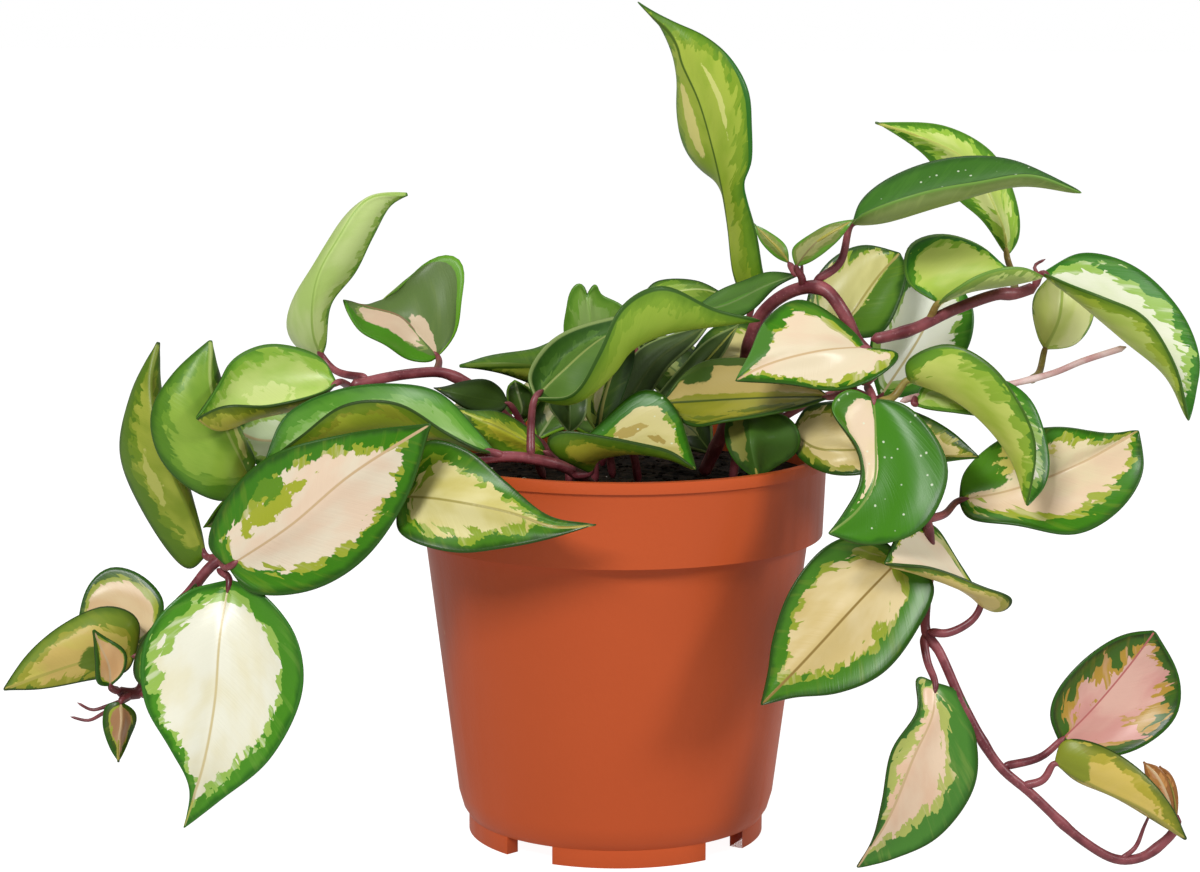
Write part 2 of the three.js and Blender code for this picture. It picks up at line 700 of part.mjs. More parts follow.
// ---------------------------------------------------------------- helpers
const vector = (point) => new THREE.Vector3(...point);
const spline = (points) => new THREE.CatmullRomCurve3(points.map(vector));

// A closed geometry as a solid that can be joined and cut.
function solid(geometry) {
  const plain = new THREE.BufferGeometry();
  plain.setAttribute("position", geometry.getAttribute("position").clone());
  if (geometry.index) plain.setIndex(geometry.index.clone());
  const merged = mergeVertices(plain, 1e-4);
  return new wasm.Manifold(
    new wasm.Mesh({
      numProp: 3,
      vertProperties: merged.attributes.position.array,
      triVerts: new Uint32Array(merged.index.array),
    }),
  );
}

// The largest body of a solid, as a named mesh.
function mesh(name, made, material) {
  const bodies = made.decompose().sort((a, b) => b.volume() - a.volume());
  const { vertProperties, triVerts } = bodies[0].getMesh();
  const geometry = new THREE.BufferGeometry();
  geometry.setAttribute("position", new THREE.Float32BufferAttribute(vertProperties, 3));
  geometry.setIndex(new THREE.BufferAttribute(triVerts, 1));
  geometry.computeVertexNormals();
  const named = new THREE.Mesh(geometry, material);
  named.name = name;
  return named;
}

function tube(points, radius, sides, step) {
  const curve = spline(points);
  const section = new THREE.Shape();
  for (let i = 0; i < sides; i++) {
    const angle = (2 * Math.PI * i) / sides;
    const corner = [radius * Math.cos(angle), radius * Math.sin(angle)];
    if (i === 0) section.moveTo(...corner);
    else section.lineTo(...corner);
  }
  section.closePath();
  const steps = Math.max(LEAST_STEPS, Math.round(curve.getLength() / step));
  return solid(new THREE.ExtrudeGeometry(section, { steps, extrudePath: curve }));
}

// ---------------------------------------------------------------- the pot
// The wall in section, from the axis under the floor, out and up the outside, and back down.
function potShell() {
  const slope = (BODY_TOP_RADIUS - BODY_LOW_RADIUS) / (BAND_BOTTOM - BODY_LOW);
  const inner = (z) => BODY_LOW_RADIUS + slope * (z - BODY_LOW) - WALL;
  const floorTop = FOOT_HEIGHT + FLOOR_THICKNESS;
  const profile = [
    [0, FOOT_HEIGHT],
    [FOOT_RADIUS - FOOT_WIDTH, FOOT_HEIGHT],
    [FOOT_RADIUS - FOOT_WIDTH, 0],
    [FOOT_RADIUS, 0],
    [FOOT_RADIUS, FOOT_HEIGHT],
    [FOOT_RADIUS + FOOT_FILLET[0], FOOT_HEIGHT + FOOT_FILLET[1]],
    [BODY_LOW_RADIUS, BODY_LOW],
    [BODY_TOP_RADIUS, BAND_BOTTOM],
    [BAND_RADIUS, BAND_BOTTOM],
    [RIM_RADIUS - BEAD_DEPTH, POT_HEIGHT - BEAD_HEIGHT],
    [RIM_RADIUS, POT_HEIGHT - BEAD_HEIGHT],
    [RIM_RADIUS, POT_HEIGHT],
    [RIM_RADIUS - BEAD_DEPTH - WALL, POT_HEIGHT],
    [BAND_RADIUS - WALL, BAND_BOTTOM + WALL],
    [inner(BAND_BOTTOM), BAND_BOTTOM + WALL],
    [inner(BODY_LOW), BODY_LOW],
    [inner(BODY_LOW) - FLOOR_CORNER, floorTop],
    [0, floorTop],
  ].map(([radius, z]) => new THREE.Vector2(radius, z));
  return solid(new THREE.LatheGeometry(profile, ROUND_SEGMENTS).rotateX(Math.PI / 2));
}

// A box across the foot ring, at an angle from the front, that opens the gap between two feet.
function footNotch(degrees) {
  const box = new THREE.BoxGeometry(NOTCH_WIDTH, 4 * FOOT_WIDTH, 2 * FOOT_HEIGHT);
  box.translate(0, -FOOT_RADIUS, 0);
  box.rotateZ(THREE.MathUtils.degToRad(degrees));
  return solid(box);
}

function drainHole(degrees) {
  const depth = 4 * FLOOR_THICKNESS;
  const hole = new THREE.CylinderGeometry(DRAIN_RADIUS, DRAIN_RADIUS, depth, DRAIN_SEGMENTS);
  hole.rotateX(Math.PI / 2);
  hole.translate(0, -DRAIN_CIRCLE, FOOT_HEIGHT + FLOOR_THICKNESS / 2);
  hole.rotateZ(THREE.MathUtils.degToRad(degrees));
  return solid(hole);
}

function pot() {
  let shell = potShell();
  for (const angle of NOTCH_ANGLES) shell = shell.subtract(footNotch(angle));
  for (const angle of DRAIN_ANGLES) shell = shell.subtract(drainHole(angle));
  return mesh("pot", shell, plastic);
}

// ---------------------------------------------------------------- the soil
function soil() {
  const slope = (BODY_TOP_RADIUS - BODY_LOW_RADIUS) / (BAND_BOTTOM - BODY_LOW);
  const wall = (z) => BODY_LOW_RADIUS + slope * (z - BODY_LOW) - WALL - GAP;
  const floor = FOOT_HEIGHT + FLOOR_THICKNESS + GAP;
  const shoulder = BAND_BOTTOM + WALL + GAP;
  const profile = [
    [0, floor],
    [wall(BODY_LOW) - FLOOR_CORNER - GAP, floor],
    [wall(BODY_LOW), BODY_LOW],
    [wall(BAND_BOTTOM), BAND_BOTTOM],
    [wall(BAND_BOTTOM), shoulder],
    [BAND_RADIUS - WALL - GAP, shoulder],
    [BAND_RADIUS - WALL - GAP, SOIL_TOP - SOIL_MOUND],
    [BAND_RADIUS / 2, SOIL_TOP],
    [0, SOIL_TOP],
  ].map(([radius, z]) => new THREE.Vector2(radius, z));
  const body = new THREE.LatheGeometry(profile, ROUND_SEGMENTS).rotateX(Math.PI / 2);
  return mesh("soil", solid(body), earth);
}

// The space that stems and stalks leave free over the soil.
function soilClearance() {
  const height = SOIL_TOP + GAP;
  const block = new THREE.CylinderGeometry(BAND_RADIUS, BAND_RADIUS, height, ROUND_SEGMENTS);
  block.rotateX(Math.PI / 2);
  block.translate(0, 0, height / 2);
  return solid(block);
}

// ---------------------------------------------------------------- the leaves
// The blade's middle surface at u along it (0 base, 1 tip) and v across it (-1 left, 1 right),
// with the direction out of its upper face there.
function bladePoint(curves, cup, u, v) {
  const middle = curves.mid.getPointAt(u);
  const along = curves.mid.getTangentAt(u);
  const half = (curve) => curve.getPointAt(u).sub(middle);
  const left = half(curves.left);
  const right = half(curves.right);
  for (const edge of [left, right])
    if (edge.length() < LEAST_HALF_WIDTH) edge.setLength(LEAST_HALF_WIDTH);
  const leftUp = along.clone().cross(left).normalize();
  const rightUp = right.clone().cross(along).normalize();
  const share = THREE.MathUtils.clamp(0.5 + v, 0, 1);
  const up = leftUp.clone().lerp(rightUp, share).normalize();
  const edge = v < 0 ? left : right;
  const out = Math.abs(v);
  const sag = -cup * edge.length() * Math.sin(Math.PI * out);
  return {
    up,
    point: middle.addScaledVector(edge, out).addScaledVector(v < 0 ? leftUp : rightUp, sag),
  };
}

function blade({ base, tip, left, mid, right, cup = LEAF_CUP }) {
  const curves = {
    left: spline([base, ...left, tip]),
    mid: spline([base, ...mid, tip]),
    right: spline([base, ...right, tip]),
  };
  const length = curves.mid.getLength();
  const across = length < SMALL_LEAF ? 2 : 4;
  const strips = Math.max(LEAST_STRIPS, Math.round(length / LEAF_STEP));
  const box = new THREE.BoxGeometry(2, 1, LEAF_THICKNESS, across, strips, 1);
  const corners = box.getAttribute("position");
  for (let i = 0; i < corners.count; i++) {
    const u = THREE.MathUtils.mapLinear(corners.getY(i), -0.5, 0.5, BLADE_START, BLADE_END);
    const { point, up } = bladePoint(curves, cup, u, corners.getX(i));
    point.addScaledVector(up, corners.getZ(i));
    corners.setXYZ(i, point.x, point.y, point.z);
  }
  return solid(box);
}

// ---------------------------------------------------------------- the stems
const clearOfSoil = soilClearance();

// A stem and its twigs, each tube enlarged by the margin given.
function stem({ radius, route, twigs = [] }, margin = 0) {
  const main = tube(route, radius + margin, VINE_SIDES, VINE_STEP);
  return twigs.reduce(
    (body, twig) => body.add(tube(twig, TWIG_RADIUS + margin, STALK_SIDES, STALK_STEP)),
    main,
  );
}

function vine(name) {
  let body = stem(VINES[name]);
  for (const leaflet of VINES[name].leaflets ?? []) body = body.add(blade(leaflet));
  return mesh(name, body.subtract(clearOfSoil), bark);
}

// The stems a little enlarged, to cut each stalk where it meets its stem.
const stemClearances = Object.values(VINES).map((shape) => stem(shape, GAP));

// A leaf is its blade and its stalk.
function leaf(name) {
  const shape = LEAVES[name];
  const start = spline([shape.base, ...shape.mid, shape.tip]).getPointAt(STALK_REACH).toArray();
  let body = blade(shape).add(
    tube([start, shape.base, ...shape.stalk], STALK_RADIUS, STALK_SIDES, STALK_STEP),
  );
  for (const clearance of [clearOfSoil, ...stemClearances]) body = body.subtract(clearance);
  const colour = LEAF_COLOURS[shape.colour];
  const wax = new THREE.MeshStandardMaterial({ color: colour, roughness: 0.35 });
  return mesh("leaf_" + name, body, wax);
}

// ---------------------------------------------------------------- the whole plant
const plant = new THREE.Group();
plant.position.set(...POT_AXIS, 0);
plant.add(pot(), soil());
for (const name of Object.keys(VINES)) plant.add(vine(name));
for (const name of Object.keys(LEAVES)) plant.add(leaf(name));

const model = new THREE.Group();
model.add(plant);

export default model;
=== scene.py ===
import math
import random

import bmesh
import bpy
import numpy as np
from mathutils import Matrix, Vector, noise


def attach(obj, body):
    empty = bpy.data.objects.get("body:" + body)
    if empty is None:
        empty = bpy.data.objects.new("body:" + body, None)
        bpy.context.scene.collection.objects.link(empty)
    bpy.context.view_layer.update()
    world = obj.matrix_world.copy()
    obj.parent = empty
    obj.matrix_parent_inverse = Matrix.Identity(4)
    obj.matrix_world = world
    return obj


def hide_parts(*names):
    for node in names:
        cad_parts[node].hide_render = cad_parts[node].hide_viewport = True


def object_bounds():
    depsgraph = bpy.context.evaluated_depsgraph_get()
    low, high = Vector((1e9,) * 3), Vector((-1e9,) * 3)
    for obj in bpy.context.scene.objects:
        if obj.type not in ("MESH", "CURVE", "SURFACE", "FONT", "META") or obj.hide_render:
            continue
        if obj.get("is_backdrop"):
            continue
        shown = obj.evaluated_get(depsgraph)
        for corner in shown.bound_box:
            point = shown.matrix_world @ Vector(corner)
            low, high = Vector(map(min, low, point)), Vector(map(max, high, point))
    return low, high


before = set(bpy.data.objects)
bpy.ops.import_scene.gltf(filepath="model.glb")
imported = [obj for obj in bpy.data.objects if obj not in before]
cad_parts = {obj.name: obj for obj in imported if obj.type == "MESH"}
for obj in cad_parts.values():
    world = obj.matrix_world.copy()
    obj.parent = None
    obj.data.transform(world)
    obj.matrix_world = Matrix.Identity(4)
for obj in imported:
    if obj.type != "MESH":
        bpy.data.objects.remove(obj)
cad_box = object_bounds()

# ---------------------------------------------------------------- the studio
# A white floor runs out of sight under a white sky. Two soft lamps stand high in front, one at the
# right and a stronger one at the left, and a strip behind puts the sheen on the leaves. The plant
# is seen from the front and a little above.
MM = 0.001
POT_AXIS = Vector((3.5, 7.8, 0.0)) * MM
FRAME_WIDTH_PX = 1200
FOCAL_PX = 2865
SENSOR_WIDTH = 36.0
CAMERA_AWAY = 800 * MM
CAMERA_HEIGHT = 236 * MM
CAMERA_DOWN, CAMERA_TURN, CAMERA_ROLL = 0.152, -0.006, 0.003  # radians
SIGHT_LIMIT = 50.0
FLOOR_HALF = 12.0
SKY_SEEN, SKY_CAST = 1.0, 0.22  # how bright it looks, and how bright it is as it lights the plant
FLOOR_SEEN, FLOOR_CAST = 0.95, 0.3
LAMPS = (  # name, place, the point that it faces and size, all in metres, and watts
    ("key_lamp", (1.15, -0.72, 0.82), (0.0, 0.0, 0.1), (0.34, 0.34), 9.0),
    ("fill_lamp", (-0.5, -1.1, 0.98), (0.0, 0.0, 0.1), (0.4, 0.4), 14.0),
    ("sheen_strip", (-0.15, 0.35, 1.1), (0.0, 0.0, 0.15), (0.9, 0.25), 2.0),
)


def tone(red, green, blue):
    """A colour as it shows on a screen, 0 to 255, turned into the light that it reflects."""
    return (*(((c / 255 + 0.055) / 1.055) ** 2.4 for c in (red, green, blue)), 1.0)


def add_object(name, data):
    """Puts an object with this data in the scene."""
    piece = bpy.data.objects.new(name, data)
    bpy.context.scene.collection.objects.link(piece)
    return piece


def new_material(name):
    """A material and its node tree, with only the shader and the output in it."""
    material = bpy.data.materials.new(name)
    material.use_nodes = True
    return material, material.node_tree


def feed(tree, socket, value):
    """Gives an input its own value, or links another node's socket to it."""
    if isinstance(value, bpy.types.NodeSocket):
        tree.links.new(value, socket)
    else:
        socket.default_value = value


def put(tree, kind, inputs=None, **settings):
    """Adds a node. An input takes a value or another node's socket."""
    made = tree.nodes.new("ShaderNode" + kind)
    for key, value in settings.items():
        setattr(made, key, value)
    for key, value in (inputs or {}).items():
        feed(tree, made.inputs[key], value)
    return made


def seen_or_cast(tree, seen, cast):
    """One brightness for what is looked at, and another for the light that it casts."""
    looked_at = put(tree, "LightPath").outputs["Is Camera Ray"]
    return put(tree, "MapRange", {"Value": looked_at, "To Min": cast, "To Max": seen}).outputs[0]


def finish_shader(tree, colour, roughness, height=None, depth=0.0, **constants):
    """Feeds the Principled shader: maps for colour, roughness and bump, and plain constants."""
    shader = tree.nodes["Principled BSDF"]
    for label, value in {"Base_Color": colour, "Roughness": roughness, **constants}.items():
        feed(tree, shader.inputs[label.replace("_", " ")], value)
    if height is not None:
        bump = put(tree, "Bump", {"Height": height, "Strength": 1.0, "Distance": depth})
        tree.links.new(bump.outputs["Normal"], shader.inputs["Normal"])


camera = bpy.data.cameras.new("camera")
camera.sensor_width = SENSOR_WIDTH
camera.lens = camera.sensor_width * FOCAL_PX / FRAME_WIDTH_PX
camera.clip_end = SIGHT_LIMIT
onlooker = add_object("camera", camera)
ahead = Vector((
    math.sin(CAMERA_TURN) * math.cos(CAMERA_DOWN),
    math.cos(CAMERA_TURN) * math.cos(CAMERA_DOWN),
    -math.sin(CAMERA_DOWN),
))
level = Vector((math.cos(CAMERA_TURN), -math.sin(CAMERA_TURN), 0.0))
above = level.cross(ahead)
aside = level * math.cos(CAMERA_ROLL) + above * math.sin(CAMERA_ROLL)
upright = above * math.cos(CAMERA_ROLL) - level * math.sin(CAMERA_ROLL)
pose = Matrix((aside, upright, -ahead)).transposed().to_4x4()
pose.translation = POT_AXIS + Vector((0.0, -CAMERA_AWAY, CAMERA_HEIGHT))
onlooker.matrix_world = pose
bpy.context.scene.camera = onlooker
bpy.context.scene.view_settings.view_transform = "Standard"

for name, place, aim, size, watts in LAMPS:
    light = bpy.data.lights.new(name, "AREA")
    light.shape = "RECTANGLE"
    light.size, light.size_y = size
    light.energy = watts
    holder = add_object(name, light)
    holder.location = place
    holder.rotation_mode = "QUATERNION"
    holder.rotation_quaternion = (Vector(aim) - Vector(place)).to_track_quat("-Z", "Y")

sky = bpy.data.worlds.new("sky")
sky.use_nodes = True
air = sky.node_tree.nodes["Background"].inputs
air["Color"].default_value = tone(255, 255, 255)
feed(sky.node_tree, air["Strength"], seen_or_cast(sky.node_tree, SKY_SEEN, SKY_CAST))
bpy.context.scene.world = sky

floor_mesh = bmesh.new()
bmesh.ops.create_grid(floor_mesh, x_segments=1, y_segments=1, size=FLOOR_HALF)
floor_data = bpy.data.meshes.new("floor")
floor_mesh.to_mesh(floor_data)
floor_mesh.free()
floor = add_object("floor", floor_data)
floor_paint, tree = new_material("white_floor")
glow = seen_or_cast(tree, FLOOR_SEEN, FLOOR_CAST)
finish_shader(tree, tone(150, 150, 150), 0.9, Emission_Color=glow, Emission_Strength=1.0,
              Specular_IOR_Level=0.2)
floor_data.materials.append(floor_paint)
floor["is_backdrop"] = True

# ---------------------------------------------------------------- the pot
# A nursery pot moulded in one piece from thin terracotta-coloured plastic: a rolled bead round
# the mouth, a rim band with a ledge under it, tapering walls, and four low feet under the floor.
# It is made round its own axis in millimetres. A texture's scale counts its waves in a metre.
RIM_RADIUS, POT_HEIGHT, WALL = 60.0, 110.0, 1.6
BEAD_HEIGHT, BEAD_DEPTH = 3.0, 0.9
BAND_BOTTOM, BAND_RADIUS = 86.6, 58.3
BODY_TOP_RADIUS, BODY_LOW_RADIUS, BODY_LOW = 54.4, 45.0, 12.0
FOOT_RADIUS, FOOT_HEIGHT, FOOT_WIDTH, FLOOR_THICKNESS = 42.1, 5.0, 4.0, 2.0
FLARE_OUT, FLARE_UP = 1.6, 2.5  # where the wall turns in to the floor
FLOOR_CORNER = 2.0
FOOT_ROOT_IN, FOOT_ROOT_OUT = 0.8, 0.4  # how far the feet run up into the floor
NOTCH_ANGLES = (-35.0, 47.0, 145.0, 227.0)  # degrees from the front, towards +X
NOTCH_WIDTH = 15.5
DRAIN_RADIUS, DRAIN_CIRCLE, DRAIN_ANGLES = 4.0, 24.0, (7.0, 97.0, 187.0, 277.0)
POT_STEPS, DRAIN_STEPS, FOOT_STEP = 160, 40, 2.5  # the last one in degrees
WELD = 0.001  # corners closer than this are one
EDGE_ROUND, ROUND_STEPS, SHARP_ANGLE = 0.45, 3, 25.0  # edges sharper than this, in degrees, are rounded
PLASTIC_GRAIN = 0.04  # height of the moulded grain
SPECK_STRENGTH, CLOUD_MATT = 0.65, 0.06

WALL_SLOPE = (BODY_TOP_RADIUS - BODY_LOW_RADIUS) / (BAND_BOTTOM - BODY_LOW)
FLOOR_TOP = FOOT_HEIGHT + FLOOR_THICKNESS


def calc(tree, operation, *values):
    """A sum done at every point of the surface."""
    return put(tree, "Math", dict(enumerate(values)), operation=operation).outputs[0]


def ramp(tree, value, low, high, out_low=0.0, out_high=1.0):
    """Runs smoothly from out_low to out_high while value goes from low to high."""
    made = put(tree, "MapRange", {"Value": value, "From Min": low, "From Max": high,
                                  "To Min": out_low, "To Max": out_high},
               interpolation_type="SMOOTHSTEP")
    return made.outputs[0]


def blend(tree, share, first, second):
    """Colour first, going to second where share is 1. They are a Mix node's inputs 6 and 7."""
    return put(tree, "Mix", {0: share, 6: first, 7: second}, data_type="RGBA").outputs[2]


def cloudy(tree, place, scale, detail=2.0):
    """Soft random values about a half."""
    return put(tree, "TexNoise", {"Vector": place, "Scale": scale, "Detail": detail}).outputs["Fac"]


def inner_radius(height):
    """How far the inside of the tapering wall is from the axis."""
    return BODY_LOW_RADIUS + WALL_SLOPE * (height - BODY_LOW) - WALL


def spin_outline(mesh, outline, degrees, steps, start=0.0):
    """Spins a section, given as radius and height, round the pot's axis."""
    corners = [mesh.verts.new((radius, 0.0, height)) for radius, height in outline]
    edges = [mesh.edges.new(pair) for pair in zip(corners, corners[1:])]
    if start:
        bmesh.ops.rotate(mesh, verts=corners, matrix=Matrix.Rotation(math.radians(start), 3, "Z"))
    bmesh.ops.spin(mesh, geom=corners + edges, axis=(0, 0, 1), cent=(0, 0, 0), dvec=(0, 0, 0),
                   angle=math.radians(degrees), steps=steps, use_merge=degrees == 360)


def in_place(name, mesh):
    """Turns a bmesh in millimetres round the pot's axis into an object where the pot stands."""
    bmesh.ops.scale(mesh, vec=(MM, MM, MM), verts=mesh.verts)
    bmesh.ops.translate(mesh, vec=POT_AXIS, verts=mesh.verts)
    data = bpy.data.meshes.new(name)
    mesh.to_mesh(data)
    mesh.free()
    return add_object(name, data)


def finished(name, mesh, node, slot, *materials, smooth=True):
    """Turns a bmesh into a piece that stands for a node."""
    for face in mesh.faces:
        face.smooth = smooth
    piece = in_place(name, mesh)
    for material in materials:
        piece.data.materials.append(material)
    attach(piece, "root")
    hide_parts(node)
    return piece


shell_outline = [
    (0, FOOT_HEIGHT), (FOOT_RADIUS - FLOOR_CORNER, FOOT_HEIGHT), (FOOT_RADIUS, FOOT_HEIGHT),
    (FOOT_RADIUS + FLARE_OUT, FOOT_HEIGHT + FLARE_UP), (BODY_LOW_RADIUS, BODY_LOW),
    (BODY_TOP_RADIUS, BAND_BOTTOM), (BAND_RADIUS, BAND_BOTTOM),
    (RIM_RADIUS - BEAD_DEPTH, POT_HEIGHT - BEAD_HEIGHT), (RIM_RADIUS, POT_HEIGHT - BEAD_HEIGHT),
    (RIM_RADIUS, POT_HEIGHT), (RIM_RADIUS - BEAD_DEPTH - WALL, POT_HEIGHT),
    (BAND_RADIUS - WALL, BAND_BOTTOM + WALL), (inner_radius(BAND_BOTTOM), BAND_BOTTOM + WALL),
    (inner_radius(BODY_LOW), BODY_LOW), (inner_radius(BODY_LOW) - FLOOR_CORNER, FLOOR_TOP),
    (0, FLOOR_TOP),
]
shell = bmesh.new()
spin_outline(shell, shell_outline, 360, POT_STEPS)
bmesh.ops.remove_doubles(shell, verts=shell.verts, dist=WELD)
notch_half = math.degrees(math.asin(NOTCH_WIDTH / 2 / FOOT_RADIUS))
foot_section = [
    (FOOT_RADIUS - FOOT_WIDTH, FOOT_HEIGHT + FOOT_ROOT_IN), (FOOT_RADIUS - FOOT_WIDTH, 0.0),
    (FOOT_RADIUS, 0.0), (FOOT_RADIUS, FOOT_HEIGHT + FOOT_ROOT_OUT),
]
for first, last in zip(NOTCH_ANGLES, (*NOTCH_ANGLES[1:], NOTCH_ANGLES[0] + 360)):
    sweep = last - first - 2 * notch_half
    before = len(shell.verts)
    spin_outline(shell, foot_section + foot_section[:1], sweep, round(sweep / FOOT_STEP),
                 start=first + notch_half - 90)
    shell.verts.ensure_lookup_table()
    bmesh.ops.remove_doubles(shell, verts=shell.verts[before:], dist=WELD)
    bmesh.ops.holes_fill(shell, edges=[e for e in shell.edges if e.is_boundary], sides=4)
bmesh.ops.recalc_face_normals(shell, faces=shell.faces)

plastic, tree = new_material("terracotta_plastic")
place = put(tree, "TexCoord").outputs["Object"]
cloud = cloudy(tree, place, 14.0, 3.0)
colour = blend(tree, cloud, tone(202, 90, 44), tone(190, 80, 38))
speck_cells = put(tree, "TexVoronoi", {"Vector": place, "Scale": 75.0}).outputs["Distance"]
specks = calc(tree, "MULTIPLY", ramp(tree, speck_cells, 0.08, 0.03),
              ramp(tree, cloudy(tree, place, 22.0), 0.60, 0.68))
colour = blend(tree, calc(tree, "MULTIPLY", specks, SPECK_STRENGTH), colour, tone(206, 128, 92))
streaks = put(tree, "Mapping", {"Vector": place, "Scale": (160.0, 160.0, 4.0)}).outputs[0]
roughness = calc(tree, "ADD", ramp(tree, cloudy(tree, streaks, 1.0), 0.35, 0.75, 0.34, 0.44),
                 calc(tree, "MULTIPLY", cloud, CLOUD_MATT))
finish_shader(tree, colour, roughness, cloudy(tree, place, 900.0), PLASTIC_GRAIN * MM,
              Specular_IOR_Level=0.22)
pot = finished("pot_shell", shell, "pot", "pot_plastic", plastic)
rounding = pot.modifiers.new("rounded_edges", "BEVEL")
rounding.width, rounding.segments = EDGE_ROUND * MM, ROUND_STEPS
rounding.limit_method, rounding.angle_limit = "ANGLE", math.radians(SHARP_ANGLE)
cutters = bmesh.new()
for angle in DRAIN_ANGLES:
    turn = math.radians(angle)
    spot = Vector((DRAIN_CIRCLE * math.sin(turn), -DRAIN_CIRCLE * math.cos(turn),
                   FOOT_HEIGHT + FLOOR_THICKNESS / 2))
    bmesh.ops.create_cone(cutters, cap_ends=True, segments=DRAIN_STEPS, radius1=DRAIN_RADIUS,
                          radius2=DRAIN_RADIUS, depth=4 * FLOOR_THICKNESS,
                          matrix=Matrix.Translation(spot))
cutter = in_place("drain_cutters", cutters)
drill = pot.modifiers.new("drain_holes", "BOOLEAN")
drill.object, drill.solver = cutter, "EXACT"
pot.modifiers.move(1, 0)
drilled = bpy.data.meshes.new_from_object(pot.evaluated_get(bpy.context.evaluated_depsgraph_get()))
pot.modifiers.clear()
pot.data = drilled
bpy.data.objects.remove(cutter)

# ---------------------------------------------------------------- the soil
# Potting mix, filled to a little under the bead: one fine lumpy fill, with coarser bits of bark lying
# on top and a few white grains of perlite. Its near-black browns are the mix's own dark colour with
# painted shade in it, for the shade that the crowded leaves cast on the soil.
SOIL_TOP, SOIL_MOUND, SOIL_GAP = 104.0, 1.5, 0.4  # the gap keeps it clear of the pot
SOIL_EDGE = BAND_RADIUS - WALL - SOIL_GAP
SOIL_RINGS, SOIL_STEPS = 26, 96
SURFACE_SUNK, SHOULDER_SUNK = 0.5, 0.6  # leaves room for the lumps under the top
LUMPY_DEPTH, LUMPY_EDGE = 1.0, SOIL_EDGE - 0.5  # only the surface is lumpy, within its edge
SURFACE_LUMPS = ((0.55, 0.35), (0.35, 1.1))  # height, and waves in a millimetre
CRUMBS, GRAINS = 420, 18
CRUMB_SIZES, GRAIN_SIZES = (0.4, 1.25), (0.35, 0.8)
LITTER_EDGE, LITTER_SUNK, LITTER_ABOVE = SOIL_EDGE - 2.2, 0.35, 0.2
LITTER_LONG, LITTER_FLAT = (0.8, 1.8), (0.4, 0.8)
LITTER_ROUGH, LITTER_WAVES = 0.3, 2.3
LITTER_SEED = 11
SOIL_GRAIN, PERLITE_GRAIN = 0.8, 0.3  # heights

soil_mesh = bmesh.new()
low_inside, band_inside = inner_radius(BODY_LOW) - SOIL_GAP, inner_radius(BAND_BOTTOM) - SOIL_GAP
ledge = BAND_BOTTOM + WALL + SOIL_GAP
soil_outline = [
    (0, FLOOR_TOP + SOIL_GAP), (low_inside - FLOOR_CORNER, FLOOR_TOP + SOIL_GAP),
    (low_inside, BODY_LOW), (band_inside, BAND_BOTTOM), (band_inside, ledge), (SOIL_EDGE, ledge),
    (SOIL_EDGE, SOIL_TOP - SOIL_MOUND - SHOULDER_SUNK),
]
for ring in range(SOIL_RINGS + 1):
    outward = 1 - ring / SOIL_RINGS
    soil_outline.append((SOIL_EDGE * outward, SOIL_TOP - SOIL_MOUND * outward**2 - SURFACE_SUNK))
spin_outline(soil_mesh, soil_outline, 360, SOIL_STEPS)
bmesh.ops.remove_doubles(soil_mesh, verts=soil_mesh.verts, dist=WELD)
bmesh.ops.recalc_face_normals(soil_mesh, faces=soil_mesh.faces)
for vert in soil_mesh.verts:
    if vert.co.z > SOIL_TOP - SOIL_MOUND - LUMPY_DEPTH and vert.co.xy.length < LUMPY_EDGE:
        vert.co.z += sum(high * noise.noise(vert.co * waves) for high, waves in SURFACE_LUMPS)
earth, tree = new_material("potting_mix")
place = put(tree, "TexCoord").outputs["Object"]
lumps = cloudy(tree, place, 420.0, 5.0)
# The fill and the bark crumbs are painted near black: the mix's own brown darkened by painted shade.
colour = blend(tree, ramp(tree, lumps, 0.35, 0.7), tone(14, 10, 7), tone(52, 38, 26))
colour = blend(tree, ramp(tree, cloudy(tree, place, 90.0), 0.5, 0.8), colour, tone(26, 18, 12))
finish_shader(tree, colour, ramp(tree, lumps, 0.3, 0.7, 0.95, 0.8), lumps, SOIL_GRAIN * MM,
              Specular_IOR_Level=0.15)
finished("soil_fill", soil_mesh, "soil", "soil", earth)

perlite, tree = new_material("perlite")
place = put(tree, "TexCoord").outputs["Object"]
pits = cloudy(tree, place, 1500.0, 3.0)
colour = blend(tree, pits, tone(235, 230, 220), tone(190, 180, 165))
finish_shader(tree, colour, 0.9, pits, PERLITE_GRAIN * MM)
random.seed(LITTER_SEED)
noise.seed_set(LITTER_SEED)
litter = bmesh.new()
for count in range(CRUMBS + GRAINS):
    radius = LITTER_EDGE * math.sqrt(random.random())
    turn = random.uniform(0, 2 * math.pi)
    grain = count >= CRUMBS
    size = random.uniform(*(GRAIN_SIZES if grain else CRUMB_SIZES))
    long, flat = random.uniform(*LITTER_LONG), random.uniform(*LITTER_FLAT)
    spread = Matrix.Diagonal((size * long, size, size * flat, 1))
    height = SOIL_TOP - SOIL_MOUND * (radius / SOIL_EDGE) ** 2 - LITTER_SUNK
    spot = Matrix.Translation((radius * math.cos(turn), radius * math.sin(turn), height))
    spot = spot @ Matrix.Rotation(random.uniform(0, 6.3), 4, "Z")
    made = bmesh.ops.create_icosphere(litter, subdivisions=1, radius=1.0, matrix=spot @ spread)
    for vert in made["verts"]:
        vert.co += LITTER_ROUGH * size * noise.noise_vector(vert.co * LITTER_WAVES)
        vert.co.z = min(vert.co.z, SOIL_TOP + LITTER_ABOVE)
    for face in {face for vert in made["verts"] for face in vert.link_faces}:
        face.material_index = int(grain)
finished("soil_litter", litter, "soil", "soil", earth, perlite, smooth=False)

